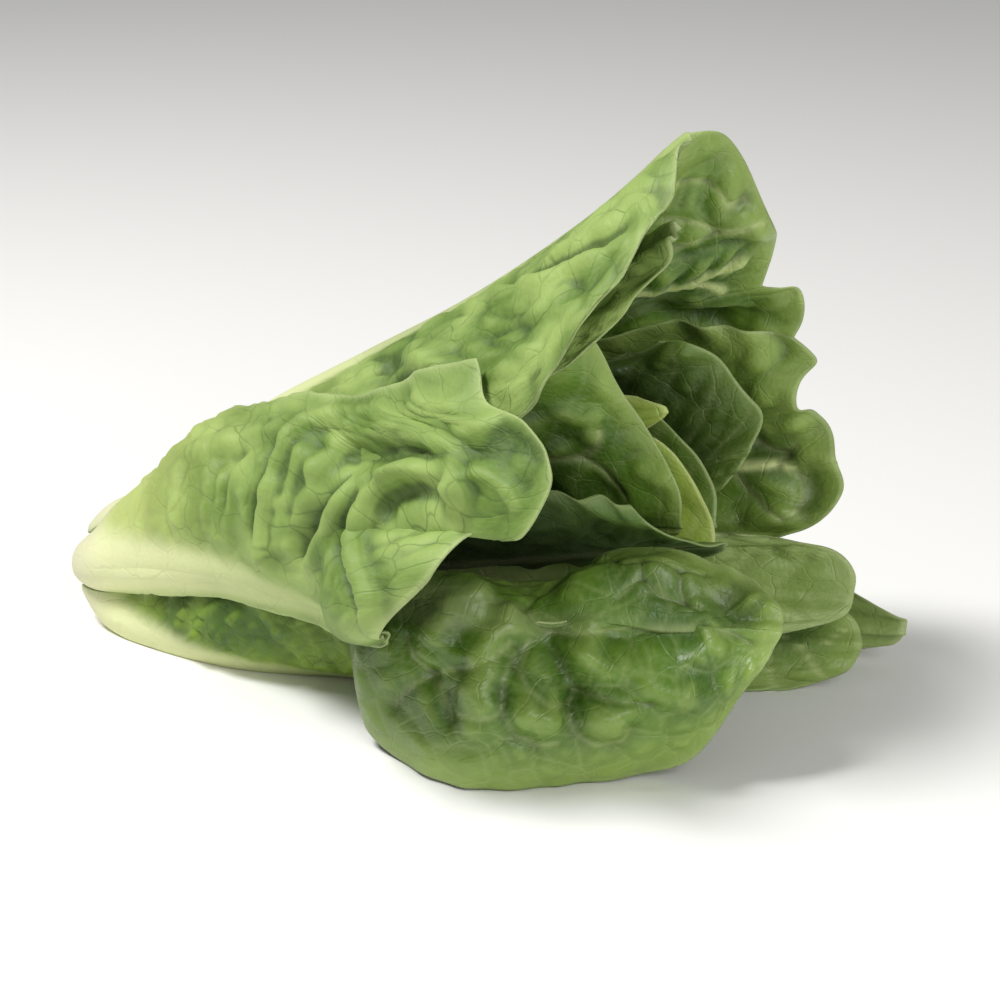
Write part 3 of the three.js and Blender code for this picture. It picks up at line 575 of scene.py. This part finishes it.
def surface(leaf, u, v):
    """The middle surface with its large waves, and the direction that its inner face looks in."""
    du = plain_point(leaf, u + STEP, v) - plain_point(leaf, u - STEP, v)
    dv = plain_point(leaf, u, v + STEP) - plain_point(leaf, u, v - STEP)
    inward = np.cross(du, dv)
    inward /= np.linalg.norm(inward, axis=-1, keepdims=True)
    return plain_point(leaf, u, v) + inward * relief(leaf, u, v)[..., None], inward


def rib_depth(leaf, u, v):
    """How far the rib stands out of the outer face."""
    away = np.abs(u) * half_width(leaf, u, v)
    rib_half = leaf["rib_half"] * (1 - 0.85 * v) + 0.5
    deep = leaf["rib_deep"] * (1 - v) ** 1.2
    return deep * np.where(away < rib_half, 0.5 + 0.5 * np.cos(np.pi * away / rib_half), 0)


def normals(p):
    """The directions that the inner face of a grid of points looks in."""
    n = np.cross(np.gradient(p, axis=1), np.gradient(p, axis=0))
    return n / np.maximum(np.linalg.norm(n, axis=-1, keepdims=True), 1e-9)


def noise(x, y, size, seed):
    """Even noise from -1 to 1 with about one swell in each square of the given size."""
    values = np.random.default_rng(seed).uniform(-1, 1, (TILE, TILE))
    x = x / size + TILE // 2
    y = y / size + TILE // 2
    i = np.floor(x).astype(int)
    j = np.floor(y).astype(int)
    f = smooth(0, 1, x - i)
    g = smooth(0, 1, y - j)
    this, after = i % TILE, (i + 1) % TILE
    low, high = (values[this, k % TILE] * (1 - f) + values[after, k % TILE] * f for k in (j, j + 1))
    return low * (1 - g) + high * g


def cell_border(x, y, size, seed):
    """Distance to the nearest border between scattered cells of about the given size."""
    scatter = np.random.default_rng(seed).uniform(0.12, 0.88, (TILE, TILE, 2))
    q = np.stack([x, y], -1) / size + TILE // 2
    home = np.floor(q).astype(int)
    centres = [home + (i, j) for i in range(-2, 3) for j in range(-2, 3)]
    centres = [cell + scatter[cell[..., 0] % TILE, cell[..., 1] % TILE] for cell in centres]
    near = np.full(x.shape, np.inf)
    own = np.zeros(q.shape)
    for c in centres:
        far = np.linalg.norm(c - q, axis=-1)
        closer = far < near
        near = np.where(closer, far, near)
        own = np.where(closer[..., None], c, own)
    border = np.full(x.shape, np.inf)
    for c in centres:
        apart = c - own
        length = np.linalg.norm(apart, axis=-1)
        other = length > 1e-6
        gap = np.sum(((c + own) / 2 - q) * apart, -1) / np.where(other, length, 1)
        border = np.where(other, np.minimum(border, gap), border)
    return border * size


def near_line(p, line):
    """How far each point of a grid is from a line of places, and 1 there, or less near its ends."""
    nearest = np.full(p.shape[:-1], np.inf)
    at = np.zeros(p.shape[:-1])
    runs = np.linalg.norm(np.diff(line, axis=0), axis=-1)
    before = 0
    for start, end, run in zip(line[:-1], line[1:], runs):
        way = end - start
        share = np.clip((p - start) @ way / max(way @ way, 1e-6), 0, 1)
        far = np.linalg.norm(p - start - share[..., None] * way, axis=-1)
        at = np.where(far < nearest, before + share * run, at)
        nearest = np.minimum(nearest, far)
        before += run
    to_end = np.minimum(at, before - at) / before
    return nearest, smooth(0, 0.3, to_end)


def blurred(values):
    """A grid of values, each evened out with its neighbours."""
    for _ in range(EVENED):
        for axis in (0, 1):
            values = np.moveaxis(values, axis, 0)
            ends = np.concatenate([values[:1], values, values[-1:]])
            values = np.moveaxis((ends[:-2] + 2 * values + ends[2:]) / 4, 0, axis)
    return values


def lengths(p, axis):
    """Distances run along a grid of points in one direction, from its first row or column."""
    runs = np.linalg.norm(np.diff(p, axis=axis), axis=-1)
    pad = [(0, 0), (0, 0)]
    pad[axis] = (1, 0)
    return np.cumsum(np.pad(runs, pad), axis=axis)


def make_mesh(name, points, faces, fields):
    """A mesh object from points in millimetres along the head, with a value for each point in every field."""
    mesh = bpy.data.meshes.new(name)
    mesh.vertices.add(len(points))
    mesh.vertices.foreach_set("co", ((points + SHIFT) * MM).ravel())
    mesh.loops.add(faces.size)
    mesh.loops.foreach_set("vertex_index", faces.ravel())
    mesh.polygons.add(len(faces))
    mesh.polygons.foreach_set("loop_start", np.arange(0, faces.size, faces.shape[1]))
    mesh.polygons.foreach_set("use_smooth", np.ones(len(faces), bool))
    for field, values in fields.items():
        kind, key = ("FLOAT_VECTOR", "vector") if values.ndim == 2 else ("FLOAT", "value")
        mesh.attributes.new(field, kind, "POINT").data.foreach_set(key, values.ravel())
    mesh.update(calc_edges=True)
    mesh.validate()
    piece = bpy.data.objects.new(name, mesh)
    bpy.context.scene.collection.objects.link(piece)
    return piece


def blade_faces(columns, rows):
    """Quads of the two faces of a blade, each a grid of columns by rows, and of the strip round its margin."""
    ids = np.arange((columns + 1) * (rows + 1)).reshape(rows + 1, columns + 1)
    start = ids[:-1, :-1].ravel()
    front = np.stack([start, start + 1, start + columns + 2, start + columns + 1], -1)
    rim = np.concatenate([ids[0, :-1], ids[:-1, -1], ids[-1, :0:-1], ids[:0:-1, 0]])
    after = np.roll(rim, -1)
    strip = np.stack([after, rim, rim + ids.size, after + ids.size], -1)
    return np.concatenate([front, front[:, ::-1] + ids.size, strip])


def drawn_marks(leaf, finish, p):
    """What the marks of a leaf do at each point: how far they lift it, how pale they make it, and how much
    painted shade they lay on it.
    """
    lift, pale, painted_shade_patch = np.zeros((3, *p.shape[:-1]))
    for height, width, paleness, line in MARKS.get(leaf["name"], []):
        places = np.array(line)
        far, full = near_line(p, surface(leaf, places[:, 0], places[:, 1])[0])
        lift += height * (1 - finish["taper"] * (1 - full)) * hump(far, width)
        # a paleness below 0 lays a patch of painted shade
        if paleness < 0:
            painted_shade_patch -= paleness * hump(far, width)
        else:
            pale = np.maximum(pale, paleness * hump(far, 0.8 + 0.8 * paleness))
    return lift * finish["shows"] * finish["marks"], pale, painted_shade_patch


def add_leaf(leaf, finish, seed):
    """One leaf: a blade with an inner and an outer face that meet round the margin."""
    columns, rows = finish["cells"]
    s = np.linspace(-1, 1, columns + 1)
    u, v = np.meshgrid(np.sign(s) * np.abs(s) ** CROWD, np.linspace(0, 1, rows + 1))
    p, inward = surface(leaf, u, v)

    # where each point is on the blade, in millimetres
    middle = np.argmin(np.abs(u[0]))
    across = lengths(p, 1)
    across -= across[:, middle : middle + 1]
    run = lengths(p, 0)
    run = (run + run[:, middle : middle + 1]) / 2
    t = np.abs(u)
    width = half_width(leaf, u, v)
    to_margin = np.minimum((1 - t) * width, (1 - v) * run[-1].mean())

    # side veins and the net between them
    spacing = finish["spacing"]
    wander = WANDER * spacing * noise(across, run, WANDER_SIZE * spacing, seed)
    climb = run - SWEEP * np.abs(across) + wander
    turns = climb / spacing + np.where(u > 0, 0.5, 0)
    to_side_vein = np.abs(turns - np.round(turns)) * spacing / math.hypot(1, SWEEP)
    to_side_vein += (1 - finish["side"]) * NO_SIDE_VEIN
    to_net = cell_border(across + 1.5 * wander, climb, finish["cell"], seed + 1)
    from_rib = smooth(leaf["rib_half"] * 0.3, leaf["rib_half"], t * width)
    open_blade = smooth(0, 0.25, v) * smooth(0, 9, to_margin) * from_rib
    side_vein = hump(to_side_vein, SIDE_VEIN_HALF) * smooth(0, 6, to_margin)

    # blisters between the veins, crumples, fine unevenness, pleats and the ruffled margin
    puff = 1 - hump(np.minimum(to_side_vein, to_net), finish["pucker"])
    swell = puff * (1 + 0.5 * noise(across, run, 18, seed + 2)) * open_blade
    crumple = sum(height * noise(across, run, size, seed + own) for size, height, own in CRUMPLES)
    fine = math.prod(noise(across, run, size, seed + own) for size, own in FINE_SIZES)
    bend = run + 4 * noise(across, run, 20, seed + 6)
    pleat = sum(high * noise(across / long, bend, size, seed + own) for long, size, high, own in PLEATS)
    pleat *= smooth(0.15, 0.3, v) * (1 - smooth(0.75, 0.9, v)) * from_rib
    turns = run / finish["ruffle_length"] + 0.6 * noise(across, run, 30, seed + 5)
    ruffle = t**6 * np.sin(2 * math.pi * turns) * np.where(u < 0, *finish["ruffle"])
    marks, pale, painted_shade_patch = drawn_marks(leaf, finish, p)
    lift = (
        finish["blister"] * swell
        + finish["crumple"] * crumple * smooth(0.05, 0.3, v) * smooth(0, 0.3, t)
        + finish["fine"] * fine * open_blade
        + finish["pleat"] * pleat
        + ruffle * smooth(0.1, 0.3, v)
        + marks
    )
    p = p + inward * lift[..., None]
    # hollow: how far each point lies below its evened-out neighbours; it sets where painted shade and painted
    # highlight go
    hollow = blurred(lift) - lift

    inward = normals(p)
    half_blade = BLADE / 2 * (THIN_MARGIN + (1 - THIN_MARGIN) * smooth(0, 4, to_margin))
    outward = half_blade + rib_depth(leaf, u, v) + finish["ridge"] * side_vein * open_blade
    inner = p + inward * half_blade[..., None]
    outer = p - inward * outward[..., None]
    inner[..., 2] = np.maximum(inner[..., 2], INNER_LOWEST)
    outer[..., 2] = np.maximum(outer[..., 2], OUTER_LOWEST)

    # what the material reads, for the inner face and then for the outer one
    rib_half = leaf["rib_half"] * (1 - 0.8 * v) + 0.6
    alike = {
        "side_vein": side_vein,
        "net": hump(to_net, NET_HALF) * smooth(0, 4, to_margin),
        "puff": swell,
        "rib": hump(t * width, rib_half),
        "pale": pale,
        "edge": hump(to_margin, finish["edge"]),
        "margin": np.exp(-to_margin / 1.2),
        "reach": v,
    }
    pairs = {field: (values, values) for field, values in alike.items()}
    pairs["face"] = (np.zeros(u.shape), np.ones(u.shape))
    # painted shade in the hollows of each face and a painted highlight on its swells, with the marks' patches
    # of painted shade added
    pairs["painted_shade_and_highlight"] = (painted_shade_patch + hollow, painted_shade_patch - hollow)
    fields = {field: np.stack(pair).ravel() for field, pair in pairs.items()}
    depths = (np.zeros(u.shape), np.full(u.shape, SIDE_DEPTH))
    fields["place"] = np.stack([np.stack([across, run, depth], -1) for depth in depths]).reshape(-1, 3)

    points = np.stack([inner, outer]).reshape(-1, 3)
    piece = make_mesh(leaf["name"] + "_blade", points, blade_faces(columns, rows), fields)
    piece.data.materials.append(leaf_material(leaf["name"], finish["colours"], finish["gloss"]))
    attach(piece, "root")
    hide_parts(leaf["name"])


class Nodes:
    """Adds nodes to a material. An input is a number, a colour or another node's output."""

    def __init__(self, name):
        self.material = bpy.data.materials.new(name)
        self.material.use_nodes = True
        self.tree = self.material.node_tree
        self.tree.nodes.clear()

    def add(self, kind, inputs, **settings):
        made = self.tree.nodes.new(kind)
        for key, value in settings.items():
            setattr(made, key, value)
        for key, value in inputs.items():
            if isinstance(value, bpy.types.NodeSocket):
                self.tree.links.new(value, made.inputs[key])
            else:
                made.inputs[key].default_value = value
        return made

    def field(self, name, output="Fac"):
        return self.add("ShaderNodeAttribute", {}, attribute_name=name).outputs[output]

    def mix(self, share, a, b):
        return self.add("ShaderNodeMix", {0: share, 6: a, 7: b}, data_type="RGBA").outputs[2]

    def step(self, value, low, high, first=0.0, last=1.0):
        """From first where value is low to last where it is high, smoothly."""
        inputs = {"Value": value, "From Min": low, "From Max": high, "To Min": first, "To Max": last}
        return self.add("ShaderNodeMapRange", inputs, interpolation_type="SMOOTHSTEP").outputs[0]

    def maths(self, operation, a, b):
        return self.add("ShaderNodeMath", {0: a, 1: b}, operation=operation).outputs[0]

    def times(self, a, b):
        return self.maths("MULTIPLY", a, b)

    def shift(self, operation, a, b):
        return self.add("ShaderNodeVectorMath", {0: a, 1: b}, operation=operation).outputs[0]

    def swells(self, vector, size, detail=1.0):
        inputs = {"Vector": vector, "Scale": 1 / size, "Detail": detail, "Roughness": 0.55}
        return self.add("ShaderNodeTexNoise", inputs).outputs["Fac"]

    def lines(self, vector, size, width):
        """1 on the borders of cells of the given size, 0 away from them."""
        inputs = {"Vector": vector, "Scale": 1 / size, "Randomness": 1.0}
        border = self.add("ShaderNodeTexVoronoi", inputs, feature="DISTANCE_TO_EDGE").outputs["Distance"]
        return self.step(border, 0.0, width / size, 1.0, 0.0)

    def bump(self, strength, height):
        inputs = {"Strength": strength, "Distance": 0.5 * MM, "Height": height}
        return self.add("ShaderNodeBump", inputs).outputs[0]

    def finish(self, inputs):
        shader = self.add("ShaderNodeBsdfPrincipled", inputs)
        self.add("ShaderNodeOutputMaterial", {"Surface": shader.outputs[0]})
        return self.material


def paint(code):
    """A colour as 0xRRGGBB, as the linear values that shaders take."""
    parts = [((code >> bits) & 255) / 255 for bits in (16, 8, 0)]
    return [p / 12.92 if p < 0.04045 else ((p + 0.055) / 1.055) ** 2.4 for p in parts] + [1]


def leaf_material(name, colours, gloss):
    """The two faces of a leaf, its veins, its pale rib and margin, and its yellow foot."""
    n = Nodes(name)
    fields = ("face", "side_vein", "net", "puff", "rib", "pale", "painted_shade_and_highlight", "edge", "margin", "reach")
    face, side_vein, net, puff, rib, pale, painted_shade_and_highlight, edge, margin, reach = map(n.field, fields)
    colour = {key: paint(code) for key, code in colours.items() if isinstance(code, int)}

    def by_face(inner, outer):
        return n.step(face, 0.0, 1.0, inner, outer)

    # patterns, laid out over the blade in millimetres
    place = n.field("place", "Vector")
    bend = n.add("ShaderNodeTexNoise", {"Vector": place, "Scale": 0.12, "Detail": 1.0}).outputs["Color"]
    bent = n.shift("ADD", place, n.shift("MULTIPLY", bend, (4.0, 4.0, 0.0)))
    cloud = n.step(n.swells(place, 28), 0.35, 0.65)
    speck = n.step(n.swells(place, 2.2), 0.3, 0.7)
    patch = n.step(n.swells(place, 17), 0.38, 0.62, 0.15, 1.0)
    thin_net = n.lines(bent, colours["net_size"], 0.4)
    open_net = n.times(n.times(thin_net, n.maths("SUBTRACT", 1.0, rib)), patch)

    # the inner face has pale veins and the outer one dark veins
    inner = n.mix(n.times(cloud, 0.7), colour["inner"], colour["inner_light"])
    # the tops of the blisters are lighter: a painted highlight
    inner = n.mix(n.step(puff, 0.2, 1.3, 0.0, 0.35), inner, colour["inner_light"])
    inner = n.mix(n.times(edge, 0.75), inner, colour["inner_edge"])
    vein = n.maths("MAXIMUM", side_vein, n.times(net, 0.25))
    inner = n.mix(n.times(vein, colours["inner_vein_share"]), inner, colour["inner_vein"])
    inner = n.mix(pale, inner, colour["inner_vein"])
    inner = n.mix(n.times(open_net, 0.1), inner, colour["inner_vein"])
    outer = n.mix(cloud, colour["outer"], colour["outer_light"])
    vein = n.maths("MAXIMUM", n.times(side_vein, 0.3), n.times(open_net, 0.5))
    outer = n.mix(n.times(vein, colours["outer_vein_share"]), outer, colour["outer_vein"])
    both = n.mix(face, inner, outer)

    # painted shade darkens the hollows and a painted highlight lightens the swells
    deep = n.mix(face, colour["inner_painted_shade"], colour["outer_painted_shade"])
    both = n.mix(n.step(painted_shade_and_highlight, 0.1, 1.4, 0.0, colours["painted_shade_share"]), both, deep)
    # the painted highlight on the swells
    high = n.mix(face, colour["inner_edge"], colour["outer_light"])
    both = n.mix(n.step(painted_shade_and_highlight, -1.0, 0.0, 0.45, 0.0), both, high)
    both = n.mix(n.times(speck, 0.12), both, colour["outer_light"])

    # the foot, the rib, the cut end, the margin, and the shade inside the head
    both = n.mix(n.times(n.step(reach, *colours["foot"], 1.0, 0.0), 0.85), both, colour["foot_colour"])
    fade = n.times(n.step(reach, 0.1, 0.95, 1.0, 0.12), by_face(0.3, 1.0))
    both = n.mix(n.times(n.step(rib, 0.2, 0.8), fade), both, colour["rib"])
    both = n.mix(n.step(reach, 0.0, 0.16, 1.0, 0.0), both, colour["base"])
    both = n.mix(n.times(margin, 0.7), both, colour["margin"])
    inside = n.times(n.step(reach, *colours["shade"], 0.85, 0.0), by_face(1.0, colours["outer_shade"]))
    both = n.mix(inside, both, colour["inside"])

    rough = n.maths("ADD", by_face(gloss, 0.58), n.times(speck, 0.1))
    relief = n.maths("ADD", n.times(thin_net, -0.5), n.swells(place, 1.6))
    return n.finish({"Base Color": both, "Roughness": rough, "Normal": n.bump(0.5, relief)})


# Colours of the leaves, and how far from foot to tip the foot's colour and the shade inside the head reach.
# In each palette the darkest inner and outer colours, with their share, are painted shade for the hollows.
PALE = {
    "inner": 0x5F7D2C, "inner_light": 0x84A048, "inner_edge": 0x9DB26A, "inner_painted_shade": 0x36501A,
    "inner_vein": 0xB4C67E, "inner_vein_share": 0.5,
    "outer": 0x5E7C2A, "outer_light": 0x95AD5C, "outer_painted_shade": 0x2C480E,
    "outer_vein": 0x365013, "outer_vein_share": 0.9,
    "foot_colour": 0xBFCB76, "foot": (0.08, 0.6), "rib": 0xDCE0AA, "base": 0xD6D4B0, "margin": 0xB4C484,
    "inside": 0x15230A, "shade": (0.3, 0.7), "outer_shade": 0.0, "painted_shade_share": 0.75, "net_size": 13.0,
}
GREEN = PALE | {
    "inner": 0x3A5F12, "inner_light": 0x688D2B, "inner_edge": 0x98B256, "inner_painted_shade": 0x1E3806,
    "inner_vein": 0xD2DE98,
    "outer": 0x7E9C4C, "outer_light": 0x9CB46C, "outer_painted_shade": 0x466224,
    "foot_colour": 0x97B040, "foot": (0.05, 0.42), "margin": 0xACBF7C, "painted_shade_share": 0.55,
}
BOTTOM = GREEN | {
    "outer": 0x3E6014, "outer_light": 0x7A9630, "outer_painted_shade": 0x1C3406,
    "foot_colour": 0xA8BC50, "foot": (0.05, 0.28),
}
# A darker copy of GREEN, painted shade for the leaves deep inside the head, with the shade inside the head laid
# over both faces.
SHADED_GREEN = GREEN | {
    "inner": 0x3C5618, "inner_light": 0x567426, "inner_edge": 0x6C883A, "inner_painted_shade": 0x22340C,
    "inner_vein_share": 0.22,
    "outer": 0x4C6C2A, "outer_light": 0x64823A, "outer_painted_shade": 0x2A4414,
    "shade": (0.6, 1.0), "outer_shade": 1.0,
}
HEART = PALE | {
    "inner": 0x86A62C, "inner_light": 0xA5BE44, "inner_edge": 0xB2C860, "inner_painted_shade": 0x5A7A1C,
    "inner_vein": 0xC9D98A,
    "outer": 0xA2BA48, "outer_light": 0xBBCC64, "outer_painted_shade": 0x7A9430, "outer_vein": 0x7F9838,
    "margin": 0xD0DA90, "shade": (0.4, 0.8),
}
LOW = PALE | {"inner": 0x7C9A40, "inner_light": 0xA0B868}

# How fine each leaf's mesh is, how its veins are spaced, and how high each kind of relief is, in millimetres.
# Shows is -1 where the outer face is the one that shows, so that the marks stand out of that face.
USUAL = {
    "slot": "green_leaf", "colours": GREEN, "spacing": 17, "side": 1.0, "cell": 13, "pucker": 2.6,
    "blister": 1.4, "crumple": 1.0, "fine": 0.6, "pleat": 0.0, "ruffle": (1.2, 1.2), "ruffle_length": 19,
    "ridge": 0.3, "shows": 1, "marks": 1.3, "taper": 0.0, "edge": 14, "gloss": 0.38,
}
PALE_LEAF = {"slot": "pale_leaf", "colours": PALE}
HEART_LEAF = {"slot": "heart_leaf", "colours": HEART, "blister": 0.8}
FINISHES = {
    "front_outer_leaf": PALE_LEAF | {
        "cells": (200, 236), "side": 0.0, "cell": 12, "blister": -0.7, "shows": -1, "marks": 1.5,
        "pleat": 0.75, "ruffle": (0, 0.5), "crumple": 0.8, "fine": 0.7,
    },
    "top_outer_leaf": PALE_LEAF | {
        "cells": (115, 175), "side": 0.3, "spacing": 22, "cell": 12, "blister": -1.2, "shows": -1,
        "marks": 1.4, "taper": 0.6, "ruffle": (0.6, 1.4),
    },
    "back_top_leaf": {
        "cells": (115, 165), "side": 0.5, "cell": 14, "blister": 1.9, "pucker": 4.2, "crumple": 1.3,
    },
    "back_outer_leaf": PALE_LEAF | {"cells": (50, 110)},
    "bottom_leaf": {
        "colours": BOTTOM, "cells": (100, 180), "spacing": 8, "cell": 8, "blister": -2.2, "shows": -1,
        "pleat": 0.8,
    },
    "front_low_leaf": {
        "cells": (165, 205), "side": 0.0, "cell": 12, "blister": 1.7, "pucker": 4.5, "crumple": 1.2,
        "ruffle": (0.6, 0.6), "marks": 1.7, "gloss": 0.33,
    },
    "back_under_leaf": {"cells": (70, 100)},
    "back_middle_leaf": {
        "cells": (115, 165), "side": 0.4, "cell": 15, "blister": 1.9, "pucker": 4.2, "crumple": 1.3,
    },
    "back_low_leaf": PALE_LEAF | {"colours": LOW, "cells": (80, 120), "blister": 1.8, "crumple": 1.6},
    "upper_inner_leaf": PALE_LEAF | {"cells": (70, 110), "crumple": 2.2, "shows": -1},
    "inner_back_leaf": {
        "colours": SHADED_GREEN | {"shade": (0.75, 1.02)}, "cells": (95, 125), "ruffle": (3.0, 1.0),
        "ruffle_length": 26, "blister": 1.0,
    },
    "inner_front_leaf": {"colours": SHADED_GREEN, "cells": (90, 110), "blister": 1.2},
    "centre_leaf": {
        "colours": GREEN | {"shade": (0.6, 0.88)}, "cells": (110, 160), "side": 0.3, "cell": 17,
        "pucker": 5.0, "blister": 1.2,
    },
    "yellow_inner_leaf": HEART_LEAF | {"cells": (60, 90)},
    "heart_leaf": HEART_LEAF | {"cells": (40, 80)},
    "upper_heart_leaf": HEART_LEAF | {"cells": (30, 50)},
    "dim_inner_leaf": {"colours": SHADED_GREEN, "cells": (60, 90), "blister": 0.8},
}


def stem_material():
    """The cut stem: two pale tones in soft clouds, with a slight unevenness."""
    n = Nodes("stem")
    place = n.add("ShaderNodeTexCoord", {}).outputs["Object"]
    cloud = n.step(n.swells(place, 6 * MM, 2.0), 0.35, 0.65)
    return n.finish({
        "Base Color": n.mix(cloud, paint(0xCFCBA4), paint(0xDEDCBC)),
        "Roughness": 0.5,
        "Normal": n.bump(0.4, n.swells(place, 2 * MM, 2.0)),
        "Subsurface Weight": 0.2,
        "Subsurface Radius": (1.0, 0.9, 0.5),
        "Subsurface Scale": 2 * MM,
    })


def add_light(name, place, size, power):
    """A soft lamp that faces the middle of the head."""
    lamp = bpy.data.lights.new(name, "AREA")
    lamp.size = size
    lamp.energy = power
    lamp_object = bpy.data.objects.new(name, lamp)
    lamp_object.location = place
    lamp_object.rotation_euler = (TARGET - Vector(place)).to_track_quat("-Z", "Y").to_euler()
    bpy.context.scene.collection.objects.link(lamp_object)


def add_floor():
    mesh = bpy.data.meshes.new("floor")
    corners = [(x * FLOOR_HALF, y * FLOOR_HALF, 0) for x, y in ((-1, -1), (1, -1), (1, 1), (-1, 1))]
    mesh.from_pydata(corners, [], [(0, 1, 2, 3)])
    floor = bpy.data.objects.new("floor", mesh)
    bpy.context.scene.collection.objects.link(floor)
    floor.data.materials.append(Nodes("floor").finish({"Base Color": paint(0xF6F5F2), "Roughness": 0.8}))


def add_camera():
    """The photo's view: from the right of the head's side and from above."""
    level = math.cos(CAMERA_RISE)
    back = Vector((math.sin(CAMERA_TURN) * level, -math.cos(CAMERA_TURN) * level, math.sin(CAMERA_RISE)))
    data = bpy.data.cameras.new("camera")
    data.sensor_width = SENSOR
    data.lens = LENS
    data.shift_x, data.shift_y = LENS_SHIFT
    camera = bpy.data.objects.new("camera", data)
    camera.location = TARGET + back * CAMERA_AWAY
    camera.rotation_euler = (-back).to_track_quat("-Z", "Y").to_euler()
    bpy.context.scene.collection.objects.link(camera)
    bpy.context.scene.camera = camera


def add_world():
    world = bpy.data.worlds.new("studio")
    world.use_nodes = True
    background = world.node_tree.nodes["Background"]
    background.inputs["Color"].default_value = (1, 1, 1, 1)
    background.inputs["Strength"].default_value = SKY
    bpy.context.scene.world = world


for number, leaf in enumerate(LEAVES):
    add_leaf(leaf, USUAL | FINISHES[leaf["name"]], 10 * number)

stem = bpy.data.objects["stem"]
stem.data.materials.clear()
stem.data.materials.append(stem_material())

add_floor()
add_world()
for light in LIGHTS:
    add_light(*light)
add_camera()
bpy.context.scene.view_settings.view_transform = "Standard"
